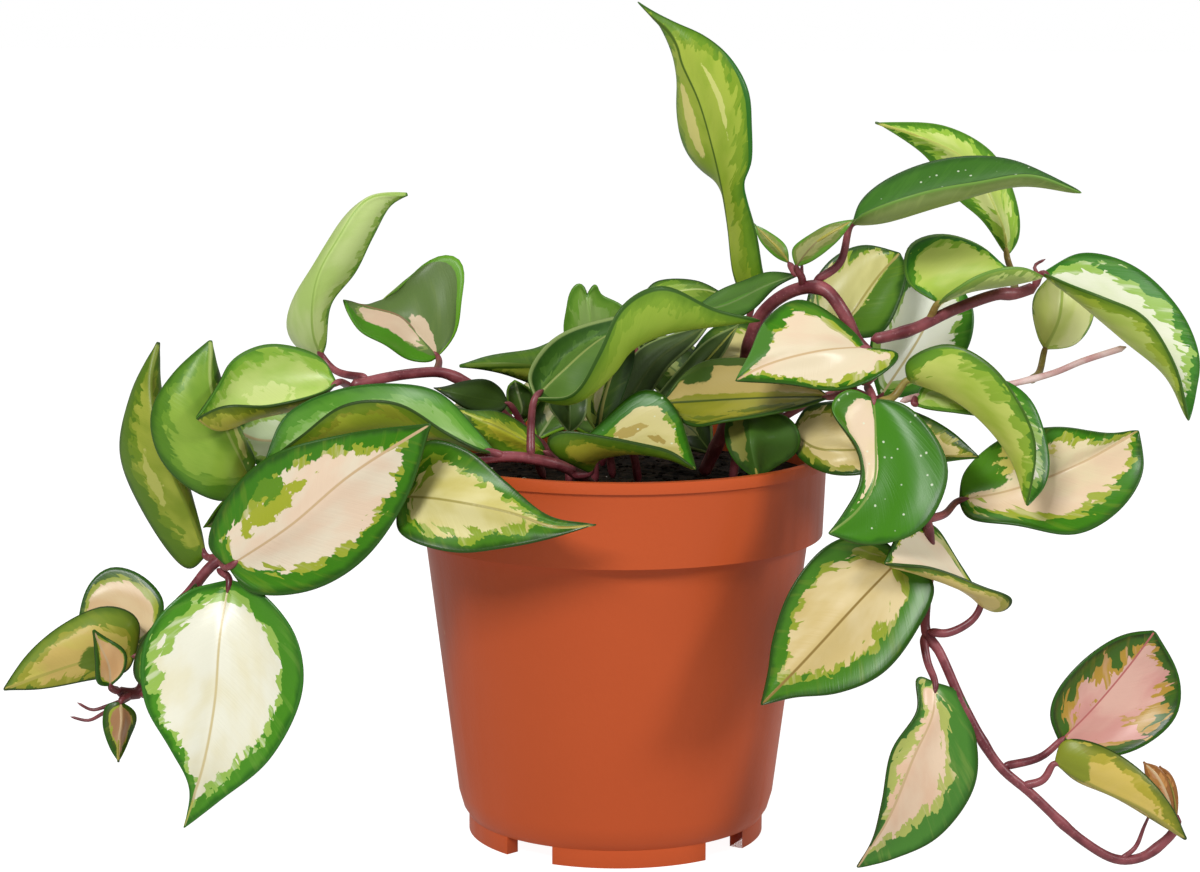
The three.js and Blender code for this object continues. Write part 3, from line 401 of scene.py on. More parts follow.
# ---------------------------------------------------------------- the stems
# Thin woody stems, crimson to brown, that carry the leaves in pairs and thicken a little at every
# joint. One tube follows each route, in millimetres from the pot's axis. The leaves' stalks are
# tubes of the same bark, or of a paler or greener one.
FINE_STEPS = 20  # straight steps in each stretch between two points of a route
STEM_SIDES, STEM_STEP, LEAST_ROWS = 14, 1.6, 6
JOINT_SPACING, JOINT_START, JOINT_SWELL, JOINT_LENGTH = 31.0, 6.0, 0.16, 2.2
LEAST_END = 0.04  # keeps the round ends from closing to a point
BARK_GRAIN, RING_WAVES, RING_SHARE, PALE_SHARE = 0.05, 2.2, 0.12, 0.3


def along_curve(points, shares):
    """Places at these shares of the length of a smooth curve through the points."""
    knots = [np.array(point, float) for point in points]
    knots = [2 * knots[0] - knots[1], *knots, 2 * knots[-1] - knots[-2]]
    fine = [knots[1]]
    for before, start, end, after in zip(knots, knots[1:], knots[2:], knots[3:]):
        steps = ((before, start), (start, end), (end, after))
        gap_in, gap, gap_out = (math.sqrt(np.linalg.norm(q - p)) for p, q in steps)
        leave = ((start - before) / gap_in - (end - before) / (gap_in + gap)) * gap + end - start
        arrive = ((after - end) / gap_out - (after - start) / (gap + gap_out)) * gap + end - start
        for t in np.linspace(0, 1, FINE_STEPS + 1)[1:]:
            bend = 2 * (start - end) + leave + arrive
            fine.append(start + t * leave + t**2 * (end - start - leave - bend) + t**3 * bend)
    walked = np.concatenate(([0.0], np.cumsum(np.linalg.norm(np.diff(fine, axis=0), axis=1))))
    goal = np.asarray(shares) * walked[-1]
    places = np.stack([np.interp(goal, walked, axis) for axis in np.transpose(fine)], 1)
    return places, float(walked[-1])


def vertex_notes(mesh, *names):
    """Layers for what a vertex knows of its own place on the piece, added where missing."""
    layers = mesh.verts.layers.float_vector
    for name in names:
        if layers.get(name) is None:
            layers.new(name)
    return [layers[name] for name in names]


def tube(mesh, points, radius, sides=STEM_SIDES, step=STEM_STEP, material=0, joints=False, ends=(1, 1)):
    """A closed tube along a smooth curve, whose radius tapers by the shares given for its ends."""
    blade_note, spot_note = vertex_notes(mesh, "blade", "spot")
    length = along_curve(points, [0, 1])[1]
    rows = max(LEAST_ROWS, round(length / step))
    shares = np.linspace(0, 1, rows + 1).tolist()
    path = [Vector(p) for p in along_curve(points, shares)[0]]
    grid = bmesh.ops.create_grid(mesh, x_segments=sides, y_segments=rows, size=1.0)["verts"]
    heading = (path[1] - path[0]).normalized()
    side = heading.orthogonal().normalized()
    rings = []
    for i, (place, share) in enumerate(zip(path, shares)):
        onward = (path[min(i + 1, rows)] - path[max(i - 1, 0)]).normalized()
        side = (side - onward * side.dot(onward)).normalized()
        width = radius * (ends[0] + (ends[1] - ends[0]) * share)
        if joints:
            off = (share * length + JOINT_START) % JOINT_SPACING - JOINT_SPACING / 2
            width *= 1 + JOINT_SWELL * math.exp(-((off / JOINT_LENGTH) ** 2))
        from_end = min(share, 1 - share) * length / radius
        width *= math.sqrt(max(LEAST_END, 1 - max(0.0, 1 - from_end) ** 2))
        rings.append((place, side, onward.cross(side), width, share))
    for vert in grid:
        turn = math.pi * (vert.co.x + 1)
        place, side, other, width, share = rings[round((vert.co.y + 1) / 2 * rows)]
        vert.co = place + width * (math.cos(turn) * side + math.sin(turn) * other)
        vert[blade_note] = (0.0, share * length, 0.0)
        vert[spot_note] = (0.0, share, 0.0)
    faces = {face for vert in grid for face in vert.link_faces}
    bmesh.ops.remove_doubles(mesh, verts=grid, dist=WELD / 2)
    faces = [face for face in faces if face.is_valid]
    rims = list({edge for face in faces for edge in face.edges if edge.is_boundary})
    caps = bmesh.ops.holes_fill(mesh, edges=rims, sides=0)["faces"]
    for face in faces + caps:
        face.material_index = material


def bark_material(name, dark, light, pale, roughness):
    """A bark mottled from dark to light, with faint rings round it and pale grain and dots."""
    material, tree = new_material(name)
    place = put(tree, "TexCoord").outputs["Object"]
    way = put(tree, "Attribute", attribute_name="blade").outputs["Vector"]
    run = put(tree, "SeparateXYZ", {"Vector": way}).outputs["Y"]
    patches = cloudy(tree, place, 130.0, 3.0)
    grain = cloudy(tree, place, 900.0, 4.0)
    dots = put(tree, "TexVoronoi", {"Vector": place, "Scale": 620.0}).outputs["Distance"]
    rings = calc(tree, "SINE", calc(tree, "MULTIPLY", run, RING_WAVES))
    colour = blend(tree, ramp(tree, patches, 0.35, 0.68), dark, light)
    for pale_parts in (ramp(tree, grain, 0.55, 0.8), ramp(tree, dots, 0.14, 0.08)):
        colour = blend(tree, calc(tree, "MULTIPLY", pale_parts, PALE_SHARE), colour, pale)
    height = calc(tree, "ADD", grain, calc(tree, "MULTIPLY", rings, RING_SHARE))
    finish_shader(tree, colour, ramp(tree, patches, 0.3, 0.7, roughness, roughness + 0.15), height,
                  BARK_GRAIN * MM, Coat_Weight=0.15, Coat_Roughness=0.25)
    return material


bark = bark_material("stem_bark", tone(100, 36, 44), tone(150, 74, 80), tone(196, 130, 132), 0.38)
pale_bark = bark_material(
    "young_stem", tone(206, 152, 150), tone(232, 205, 200), tone(240, 225, 220), 0.4)
green_bark = bark_material(
    "tender_stem", tone(134, 104, 46), tone(164, 150, 70), tone(190, 180, 110), 0.4)

# ---------------------------------------------------------------- the leaves: shape
# A hoya leaf is a thick waxy blade on a short stalk. Its surface is drawn over three curves that
# share the base and the tip: the left margin, the midrib and the right margin, in millimetres
# from the pot's axis. Each half sags a little between rib and margin, and the rib is a groove.
LEAF_CUP = 0.12  # sag of each half, as a share of its width
LEAF_THICKNESS = 1.0
LEAF_ENDS = (0.004, 0.996)  # a blade stops just short of its two points
LEAST_HALF_WIDTH = 0.2
RIB_GROOVE, RIB_HALF_WIDTH = 0.3, 0.7
RIPPLE, RIPPLE_WAVES, RIPPLE_FULL_WIDTH = 0.35, 5.0, 8.0  # how the margins wander up and down
EVEN_ROWS, EVEN_COLUMNS = 0.6, 0.3  # the rest of each is drawn in, to the ends and to the rib
THIN_EDGE, FULL_EDGE_WIDTH = 0.35, 4.0  # a narrow tip is thinner
BLADE_ROWS = 14


def halves(base, tip, left, mid, right, rows):
    """Midrib points, the two half blades beside them, and the way along, row by row."""
    shares = np.linspace(0, 1, rows + 1)
    shares = EVEN_ROWS * shares + (1 - EVEN_ROWS) * (0.5 - 0.5 * np.cos(np.pi * shares))
    shares = LEAF_ENDS[0] + (LEAF_ENDS[1] - LEAF_ENDS[0]) * shares
    middle = along_curve([base, *mid, tip], shares)[0]
    sides = [along_curve([base, *edge, tip], shares)[0] - middle for edge in (left, right)]
    return shares.tolist(), middle, sides, np.gradient(middle, axis=0)


def blade(mesh, base, tip, left, mid, right, columns, step, cup=LEAF_CUP, thickness=LEAF_THICKNESS,
          seed=0.0, material=0):
    """Adds one closed blade. Its vertices note how far along and across the blade they are."""
    blade_note, spot_note, lift = vertex_notes(mesh, "blade", "spot", "lift")
    length = along_curve([base, *mid, tip], [0, 1])[1]
    rows = max(BLADE_ROWS, round(length / step))
    shares, middle, sides, onward = halves(base, tip, left, mid, right, rows)
    grid = bmesh.ops.create_grid(mesh, x_segments=columns, y_segments=rows, size=1.0)["verts"]
    taper = {}
    for vert in grid:
        row = round((vert.co.y + 1) / 2 * rows)
        column = abs(vert.co.x)
        share = math.copysign(EVEN_COLUMNS * column + (1 - EVEN_COLUMNS) * column**1.5, vert.co.x)
        half = Vector(sides[int(share > 0)][row])
        if half.length < LEAST_HALF_WIDTH:
            half = half.normalized() * LEAST_HALF_WIDTH
        way = Vector(onward[row]).normalized()
        up = (half.cross(way) if share > 0 else way.cross(half)).normalized()
        out, off = abs(share), abs(share) * half.length
        sag = cup * half.length * math.sin(math.pi * out)
        sag += RIB_GROOVE * math.exp(-((off / RIB_HALF_WIDTH) ** 2))
        wave = noise.noise(Vector((shares[row] * RIPPLE_WAVES, 2.0 * math.copysign(1, share), seed)))
        room = min(1.0, half.length / RIPPLE_FULL_WIDTH)
        vert.co = Vector(middle[row]) + half * out + up * (RIPPLE * room * wave * out**2 - sag)
        vert[blade_note] = (math.copysign(off, share), shares[row] * length, half.length - off)
        vert[spot_note] = (share, shares[row], 0.0)
        taper[vert] = min(1.0, THIN_EDGE + half.length / FULL_EDGE_WIDTH)
    upper = list({face for vert in grid for face in vert.link_faces})
    for face in upper:
        face.normal_update()
    for vert in grid:
        vert.normal_update()
        vert[lift] = vert.normal * taper[vert]
    made = bmesh.ops.extrude_face_region(mesh, geom=upper, use_keep_orig=True)["geom"]
    under = [item for item in made if isinstance(item, bmesh.types.BMVert)]
    for vert in under:
        vert.co -= vert[lift] * thickness / 2
        vert[spot_note] = (*vert[spot_note][:2], 1.0)
    for vert in grid:
        vert.co += vert[lift] * thickness / 2
    for vert in grid + under:
        for face in vert.link_faces:
            face.material_index = material


# ---------------------------------------------------------------- the leaves: colours
# The pale middle of a blade meets its green margin in ragged steps that run along the side
# veins. The underside shows the same pattern, yellower and duller, and its colours carry painted
# light for the light that shines through the leaf. Widths are in millimetres, and a texture's scale
# here counts its waves in a millimetre of the blade.
VEIN_SLANT = 0.9  # how far a side vein runs towards the tip for each millimetre outwards
VEIN_RELIEF = 0.012
BROAD_SHARE, ROUGH_SHARE = 1.6, 1.7
SWIRL_SCALE, SWIRL = 0.35, 0.55
MASKS = ("Pale", "Middle", "Dusk", "Tint", "Rib", "Rim", "Streak")


def new_group(name, inputs, outputs):
    """A shader node group, with the names and kinds of its inputs and outputs."""
    group = bpy.data.node_groups.new(name, "ShaderNodeTree")
    for direction, sockets in (("INPUT", inputs), ("OUTPUT", outputs)):
        for kind, labels in sockets.items():
            for label in labels:
                group.interface.new_socket(label, in_out=direction, socket_type="NodeSocket" + kind)
    return group, group.nodes.new("NodeGroupInput").outputs, group.nodes.new("NodeGroupOutput").inputs


def deliver(group, result, **sockets):
    """Links what a group has made to its outputs."""
    for label, socket in sockets.items():
        group.links.new(socket, result[label])


def use_group(tree, group, **inputs):
    """Places a group in a material, with its own values."""
    values = {label.replace("_", " "): value for label, value in inputs.items()}
    return put(tree, "Group", values, node_tree=group).outputs


pattern, given, result = new_group(
    "leaf_pattern",
    {"Vector": ("Blade",),
     "Float": ("Seed", "Left Width", "Right Width", "Ragged", "Between Width", "Rib Width")},
    {"Float": (*MASKS, "Height")},
)
across, along, edge = put(pattern, "SeparateXYZ", {"Vector": given["Blade"]}).outputs
off = calc(pattern, "ABSOLUTE", across)
vein = calc(pattern, "SUBTRACT", along, calc(pattern, "MULTIPLY", off, VEIN_SLANT))


def vein_place(per_vein, per_across, shift):
    """A place for a texture that is drawn out along the side veins."""
    return put(pattern, "CombineXYZ", {
        "X": calc(pattern, "MULTIPLY", vein, per_vein),
        "Y": calc(pattern, "MULTIPLY", across, per_across),
        "Z": calc(pattern, "ADD", given["Seed"], shift),
    }).outputs[0]


def vein_noise(per_vein, per_across, shift, detail=2.0):
    """Noise along the veins, spread about nought."""
    soft = cloudy(pattern, vein_place(per_vein, per_across, shift), 1.0, detail)
    return calc(pattern, "SUBTRACT", soft, 0.5)


def vein_cells(per_vein, per_across, shift):
    """Sharp-edged patches along the veins, each with a chance value about nought."""
    swirl = put(pattern, "TexNoise", {"Vector": vein_place(SWIRL_SCALE, SWIRL_SCALE, shift),
                                      "Scale": 1.0, "Detail": 2.0}).outputs["Color"]
    sway = put(pattern, "VectorMath", {0: swirl, "Scale": SWIRL}, operation="SCALE").outputs[0]
    place = put(pattern, "VectorMath", {0: vein_place(per_vein, per_across, shift), 1: sway},
                operation="ADD").outputs[0]
    cells = put(pattern, "TexVoronoi", {"Vector": place, "Scale": 1.0}).outputs["Color"]
    return calc(pattern, "SUBTRACT", put(pattern, "SeparateColor", {"Color": cells}).outputs[0], 0.5)


def total(*terms):
    """The sum of a number of (factor, value) pairs."""
    found = 0.0
    for factor, value in terms:
        found = calc(pattern, "ADD", found, calc(pattern, "MULTIPLY", factor, value))
    return found


broad = vein_noise(0.06, 0.04, 31.0)
fine = vein_noise(1.3, 0.35, 17.0)
side = ramp(pattern, across, -1.5, 1.5)
width = calc(pattern, "ADD", given["Left Width"], calc(
    pattern, "MULTIPLY", side, calc(pattern, "SUBTRACT", given["Right Width"], given["Left Width"])))
outer_edge = total((1.0, vein_cells(0.28, 0.16, 0.0)), (ROUGH_SHARE, vein_noise(0.22, 0.13, 7.0)),
                   (BROAD_SHARE, broad), (0.3, fine))
outer_edge = calc(pattern, "SUBTRACT", calc(pattern, "MULTIPLY_ADD", outer_edge, given["Ragged"], edge),
                  width)
inner_edge = total((1.0, vein_cells(0.32, 0.18, 50.0)), (ROUGH_SHARE, vein_noise(0.26, 0.15, 57.0)),
                   (BROAD_SHARE, broad), (0.5, fine))
inner_edge = calc(pattern, "SUBTRACT", calc(pattern, "MULTIPLY_ADD", inner_edge, given["Ragged"], edge),
                  calc(pattern, "ADD", width, given["Between Width"]))
lines = calc(pattern, "ABSOLUTE", vein_noise(0.75, 0.05, 80.0, 1.0))
deliver(
    pattern, result,
    Pale=ramp(pattern, outer_edge, -0.12, 0.12),
    Middle=ramp(pattern, inner_edge, -0.2, 0.2),
    Dusk=ramp(pattern, total((0.5, vein_noise(0.2, 0.12, 90.0)), (0.16, edge)), 0.45, 0.1),
    Tint=ramp(pattern, vein_noise(0.06, 0.08, 100.0, 3.0), -0.12, 0.14),
    Rib=ramp(pattern, calc(pattern, "DIVIDE", off, given["Rib Width"]), 1.1, 0.4),
    # The rim is a thin painted line along the edge: painted shade, or a painted highlight where its colour
    # is lighter.
    Rim=ramp(pattern, edge, 0.85, 0.4),
    Streak=ramp(pattern, vein_noise(0.5, 0.09, 110.0), 0.02, 0.2),
    Height=total((1.0, ramp(pattern, lines, 0.0, 0.12)), (0.8, vein_noise(0.9, 0.7, 120.0))),
)

COLOUR_NAMES = ("centre", "tint", "between", "margin", "dark", "rib", "rim")
BETWEEN_STREAKS, MARGIN_STREAKS = 0.45, 0.16
paint, given, result = new_group(
    "leaf_paint",
    {"Float": MASKS, "Color": [name.capitalize() + " Colour" for name in COLOUR_NAMES]},
    {"Color": ("Color",)},
)
middle_colour = blend(paint, given["Tint"], given["Centre Colour"], given["Tint Colour"])
between_colour = blend(paint, calc(paint, "MULTIPLY", given["Streak"], BETWEEN_STREAKS),
                       given["Between Colour"], given["Centre Colour"])
margin_colour = blend(paint, given["Dusk"], given["Margin Colour"], given["Dark Colour"])
margin_colour = blend(paint, calc(paint, "MULTIPLY", given["Streak"], MARGIN_STREAKS),
                      margin_colour, given["Between Colour"])
coloured = blend(paint, given["Pale"], margin_colour, between_colour)
coloured = blend(paint, given["Middle"], coloured, middle_colour)
coloured = blend(paint, given["Rib"], coloured, given["Rib Colour"])
# Painted edge light: the rim colour lays painted shade along the edge, and a painted highlight where it is
# lighter.
coloured = blend(paint, given["Rim"], coloured, given["Rim Colour"])
deliver(paint, result, Color=coloured)

BLOTCH_WAVES = 0.35
blotch, given, result = new_group(
    "leaf_blotch",
    {"Color": ("Color", "Blotch Colour"), "Vector": ("Spot", "Blade"),
     "Float": ("Seed", "Across", "Along", "Half Width", "Half Length", "Ragged", "Face")},
    {"Color": ("Color",)},
)
share_across, share_along, underside = put(blotch, "SeparateXYZ", {"Vector": given["Spot"]}).outputs
away_across, away_along = (
    calc(blotch, "DIVIDE", calc(blotch, "SUBTRACT", share, given[middle]), given[reach])
    for share, middle, reach in (
        (share_across, "Across", "Half Width"), (share_along, "Along", "Half Length"))
)
far = calc(blotch, "SQRT", calc(blotch, "MULTIPLY_ADD", away_across, away_across,
                                calc(blotch, "MULTIPLY", away_along, away_along)))
shift = put(blotch, "CombineXYZ", {"Z": given["Seed"]}).outputs[0]
place = put(blotch, "VectorMath", {0: given["Blade"], 1: shift}, operation="ADD").outputs[0]
wild = calc(blotch, "SUBTRACT", cloudy(blotch, place, BLOTCH_WAVES, 3.0), 0.5)
far = calc(blotch, "MULTIPLY_ADD", wild, given["Ragged"], far)
other_face = calc(blotch, "ABSOLUTE", calc(blotch, "SUBTRACT", underside, given["Face"]))
cover = calc(blotch, "MULTIPLY", ramp(blotch, far, 1.06, 0.94), ramp(blotch, other_face, 0.6, 0.4))
deliver(blotch, result, Color=blend(blotch, cover, given["Color"], given["Blotch Colour"]))

# Colours as they show on a screen, in the order of COLOUR_NAMES. The rim colour is an outline
# painted along the rounded edge: painted shade where it is darker than the margin, and a painted
# highlight where it is lighter.
TOPS = {
    "white": ((236, 234, 214), (230, 224, 192), (150, 186, 82), (72, 138, 26), (42, 102, 16),
              (206, 190, 142), (52, 112, 26)),
    "pink": ((234, 220, 194), (234, 208, 180), (156, 168, 50), (60, 124, 12), (38, 84, 8),
             (206, 176, 134), (44, 88, 14)),
    "cream": ((220, 210, 148), (202, 190, 110), (138, 162, 42), (66, 120, 18), (38, 78, 8),
              (164, 152, 80), (40, 76, 12)),
    "green": ((112, 160, 60), (96, 150, 48), (90, 146, 44), (70, 130, 26), (44, 92, 16),
              (150, 180, 96), (52, 96, 20)),
    "light": ((206, 224, 140), (192, 214, 116), (166, 200, 84), (132, 182, 60), (96, 152, 40),
              (196, 210, 130), (92, 140, 40)),
    "grey": ((118, 142, 84), (100, 126, 66), (92, 124, 52), (82, 116, 44), (58, 88, 28),
             (150, 166, 110), (120, 168, 40)),
    # The dark faces are deep green made darker still by painted shade, for leaves deep in the crowd.
    "dark": ((88, 112, 44), (76, 100, 36), (66, 94, 28), (52, 76, 20), (36, 54, 12),
             (110, 130, 66), (130, 150, 84)),
}
# The undersides' pale tones are partly their own colour and partly painted light: the light that shines
# through the leaf.
UNDERS = {
    "yellow": ((206, 214, 108), (190, 204, 84), (170, 192, 62), (140, 170, 44), (104, 140, 30),
               (186, 190, 90), (64, 100, 20)),
    "olive": ((176, 174, 66), (158, 158, 50), (140, 148, 38), (116, 128, 24), (84, 102, 14),
              (170, 160, 74), (44, 70, 12)),
    "green": ((186, 208, 96), (168, 196, 74), (146, 180, 58), (112, 150, 42), (84, 124, 30),
              (196, 176, 120), (56, 96, 20)),
    "pale": ((226, 232, 178), (214, 226, 150), (196, 214, 120), (170, 196, 90), (140, 172, 66),
             (206, 206, 150), (110, 150, 60)),
    "grey": TOPS["grey"],
}
FLECK_SCALE, FLECK_STRENGTH = 520.0, 0.75  # waves in a metre
DULLER = 0.08  # how much rougher the tinted parts and the underside are


def leaf_coat(name, top, under, widths, ragged=2.4, between=1.4, rib=0.4, blots=(), gloss=0.3,
              top_tones=None, under_tones=None, seed=0.0, flecks=0.0):
    """The wax, pattern and colours of one leaf.

    Top and under name the colours of its faces, and the tones change some of them. Widths are
    those of the left and right margin, between that of the band inside them. A blot is a patch of
    another colour: its face, its middle across and along the blade as a share of it, its half
    width and half length likewise, how ragged its edge is, and its colour.
    """
    material, tree = new_material(name)
    blade_way = put(tree, "Attribute", attribute_name="blade").outputs["Vector"]
    spot = put(tree, "Attribute", attribute_name="spot").outputs["Vector"]
    masks = use_group(tree, pattern, Blade=blade_way, Seed=seed, Left_Width=widths[0],
                      Right_Width=widths[1], Ragged=ragged, Between_Width=between, Rib_Width=rib)
    faces = []
    for tones, changes in ((TOPS[top], top_tones), (UNDERS[under], under_tones)):
        tones = {**dict(zip(COLOUR_NAMES, tones)), **(changes or {})}
        shown = {f"{label.capitalize()}_Colour": tone(*value) for label, value in tones.items()}
        faces.append(use_group(tree, paint, **{mask: masks[mask] for mask in MASKS}, **shown)["Color"])
    underside = ramp(tree, put(tree, "SeparateXYZ", {"Vector": spot}).outputs["Z"], 0.35, 0.65)
    colour = blend(tree, underside, *faces)
    for number, (face, across, along, half_width, half_length, rough_edge, blot_tone) in enumerate(blots):
        colour = use_group(tree, blotch, Color=colour, Spot=spot, Blade=blade_way,
                           Seed=seed + 10 * number, Across=across, Along=along, Half_Width=half_width,
                           Half_Length=half_length, Ragged=rough_edge, Face=float(face == "under"),
                           Blotch_Colour=tone(*blot_tone))["Color"]
    if flecks:
        place = put(tree, "TexCoord").outputs["Object"]
        dots = put(tree, "TexVoronoi", {"Vector": place, "Scale": FLECK_SCALE}).outputs
        lucky = put(tree, "SeparateColor", {"Color": dots["Color"]}).outputs[1]
        seen = calc(tree, "MULTIPLY", ramp(tree, dots["Distance"], 0.22, 0.12),
                    ramp(tree, lucky, 1.0 - flecks, 1.01 - flecks))
        seen = calc(tree, "MULTIPLY", seen, calc(tree, "SUBTRACT", 1.0, underside))
        colour = blend(tree, calc(tree, "MULTIPLY", seen, FLECK_STRENGTH), colour, tone(226, 234, 208))
    roughness = calc(tree, "ADD", ramp(tree, masks["Tint"], 0.0, 1.0, gloss, gloss + DULLER),
                     calc(tree, "MULTIPLY", underside, DULLER))
    finish_shader(tree, colour, roughness, masks["Height"], VEIN_RELIEF * MM,
                  Specular_IOR_Level=0.27, Coat_Weight=0.08, Coat_Roughness=0.2)
    return material


STALK_RADIUS, STALK_REACH, STALK_SIDES, STALK_THIN = 1.3, 0.06, 12, 0.7
SMALL_LEAF = 32.0  # millimetres from base to tip
BLADE_FINENESS, SMALL_FINENESS = (20, 1.9), (14, 1.5)  # columns across, and millimetres along
stalk_coats = {"purple": bark, "orange": green_bark, "pale": pale_bark}


def leaf(name, slot, base, tip, left, mid, right, stalk, cup=LEAF_CUP, stalk_coat="purple", **look):
    """One leaf: its blade, and the stalk that runs on from its base towards the stem."""
    mesh = bmesh.new()
    seed = sum(map(ord, name)) % 97 + 0.5  # each leaf has its own pattern
    rib_line = [base, *mid, tip]
    small = along_curve(rib_line, [0, 1])[1] < SMALL_LEAF
    fineness = SMALL_FINENESS if small else BLADE_FINENESS
    blade(mesh, base, tip, left, mid, right, *fineness, cup=cup, seed=seed)
    start = along_curve(rib_line, [STALK_REACH])[0][0]
    tube(mesh, [start, base, *stalk], STALK_RADIUS, sides=STALK_SIDES, material=1,
         ends=(STALK_THIN, 1.0))
    bmesh.ops.recalc_face_normals(mesh, faces=mesh.faces)
    coat = leaf_coat("coat_" + name, seed=seed, **look)
    piece = finished("blade_" + name, mesh, "leaf_" + name, slot, coat, stalk_coats[stalk_coat])
    rounded = piece.modifiers.new("rounded", "SUBSURF")
    rounded.levels = rounded.render_levels = 1


# ---------------------------------------------------------------- the stems and their routes
# Three stems rise out of the soil, and three more go on from the bent end of the middle one. Side
# twigs have grown as one with their stems, and so have the two closed leaflets at the end of the
# low right stem and seven small leaves that fill the middle, close to the soil.
TWIG_RADIUS, TWIG_SIDES, TWIG_STEP, TWIG_THIN = 0.8, 10, 1.0, 0.45
LEAFLET_COLUMNS, LEAFLET_STEP, LEAFLET_THICKNESS = 10, 1.4, 0.9
closed_coat = leaf_coat(
    "closed_leaflet", "pink", "olive", (1.0, 1.0), seed=4.0,
    top_tones={"centre": (216, 162, 118), "tint": (198, 138, 92), "between": (194, 136, 74),
               "margin": (170, 116, 54), "dark": (150, 98, 50), "rim": (150, 98, 50)},
    under_tones={"centre": (214, 168, 112), "tint": (196, 138, 92), "between": (190, 132, 66),
                 "margin": (168, 112, 50), "dark": (148, 94, 46), "rim": (148, 94, 46)},
)
young_coat = leaf_coat(
    "young_leaf", "grey", "grey", (4.5, 4.5), seed=14.0,
    top_tones={"centre": (206, 200, 146), "tint": (190, 190, 122)},
)
# The leaves in shade take the dark colours: painted shade that fills the gaps low in the middle.
shade_coat = leaf_coat(
    "leaf_in_shade", "dark", "olive", (5.5, 5.5), rib=0.3, gloss=0.4, seed=23.0,
    top_tones={"centre": (176, 180, 110), "tint": (150, 164, 84)},
)


def stem(node, radius, route, twigs=(), material=bark, leaflets=(), leaflet_coat=None):
    """One stem, with the twigs and small leaves that have grown as one with it."""
    mesh = bmesh.new()
    tube(mesh, route, radius, joints=True)
    for twig in twigs:
        tube(mesh, twig, TWIG_RADIUS, sides=TWIG_SIDES, step=TWIG_STEP, ends=(1.0, TWIG_THIN))
    for leaflet in leaflets:
        blade(mesh, **leaflet, columns=LEAFLET_COLUMNS, step=LEAFLET_STEP,
              thickness=LEAFLET_THICKNESS, material=1)
    bmesh.ops.recalc_face_normals(mesh, faces=mesh.faces)
    coats = [material] + ([leaflet_coat] if leaflets else [])
    finished("stem_" + node, mesh, node, "stem", *coats)


stem(
    "vine_left", 1.5,
    [(-4, -34, 103), (-12, -40, 110), (-18, -44, 113), (-30, -47, 115), (-47, -46, 112),
     (-69, -42, 104), (-88, -40, 94), (-108, -41, 85), (-115, -41, 77), (-123, -37, 67),
     (-128, -34, 56), (-131, -34, 47), (-137, -37, 48)],
    twigs=[[(-131, -34, 48), (-135, -34, 45), (-140, -34, 43), (-144, -34, 42), (-148, -34, 44)],
           [(-131, -34, 47), (-136, -34, 44), (-141, -34, 41), (-145, -34, 39), (-150, -34, 40)]],
)
stem(
    "vine_left_upper", 1.5,
    [(-16, 6, 103), (-22, 6, 110), (-31, 8, 117), (-39, 7, 125), (-45, 5, 129), (-50, 3, 131),
     (-57, 1, 131), (-65, -1, 130), (-75, -4, 128)],
    leaflet_coat=young_coat,
    leaflets=[
        {"base": (-30, 8, 116), "tip": (-29, 4, 129),
         "left": [(-29, 6, 118), (-31, 4, 122), (-31, 3, 127)], "mid": [(-27, 2, 120), (-28, 1, 125)],
         "right": [(-24, 7, 119), (-24, 5, 125)]},
        {"base": (-23, 7, 111), "tip": (2, 24, 115),
         "left": [(-25, 18, 121), (-17, 26, 124), (-7, 27, 121)], "mid": [(-15, 17, 120), (-6, 24, 120)],
         "right": [(-13, 11, 114), (-7, 15, 111), (0, 20, 111)]},
        {"base": (-31, 9, 116), "tip": (-46, 47, 112),
         "left": [(-48, 15, 118), (-55, 29, 116), (-52, 41, 113)], "mid": [(-38, 19, 122), (-43, 33, 121)],
         "right": [(-30, 22, 118), (-33, 36, 118), (-39, 45, 114)]},
        {"base": (-27, 8, 115), "tip": (-17, 52, 119),
         "left": [(-31, 20, 121), (-31, 36, 121), (-25, 48, 119)], "mid": [(-25, 20, 126), (-23, 36, 127)],
         "right": [(-18, 22, 126), (-13, 38, 125), (-12, 49, 120)]},
    ],
)
stem(
    "vine_centre", 1.8,
    [(24, -6, 103), (33, -10, 125), (38, -16, 147), (43, -20, 154), (50, -24, 158), (56, -28, 158),
     (61, -30, 152), (65, -28, 144), (70, -28, 138), (66, -34, 133)],
    twigs=[[(50, -24, 158), (50, -24, 165)]],
    leaflet_coat=shade_coat,
    leaflets=[
        {"base": (27, -5, 109), "tip": (7, 14, 114),
         "left": [(19, -5, 111), (10, 2, 110)], "mid": [(20, 2, 116), (13, 9, 117)],
         "right": [(26, 5, 119), (20, 10, 122), (13, 14, 119)]},
        {"base": (34, -9, 126), "tip": (55, 46, 121),
         "left": [(33, 7, 131), (42, 23, 132), (47, 38, 126)], "mid": [(41, 6, 134), (49, 26, 132)],
         "right": [(47, 3, 131), (52, 17, 132), (57, 34, 127)]},
        {"base": (30, -8, 119), "tip": (5, 13, 140),
         "left": [(21, 8, 119), (10, 12, 126)], "mid": [(25, 5, 125), (15, 10, 132)],
         "right": [(27, 8, 132), (18, 11, 140)]},
    ],
)
stem(
    "vine_right_upper", 1.6,
    [(69, -24, 144), (74, -24, 145), (81, -23, 147), (92, -21, 152), (104, -19, 156), (109, -17, 156),
     (115, -17, 158)],
    twigs=[[(114, -17, 158), (116, -13, 160), (115, -11, 163), (118, -11, 165)]],
)
stem(
    "shoot_right", 0.9,
    [(76, -38, 129), (82, -34, 130), (88, -31, 130), (96, -28, 131), (106, -26, 132), (112, -24, 133),
     (120, -22, 135), (127, -22, 138), (139, -22, 142)],
    material=pale_bark,
)
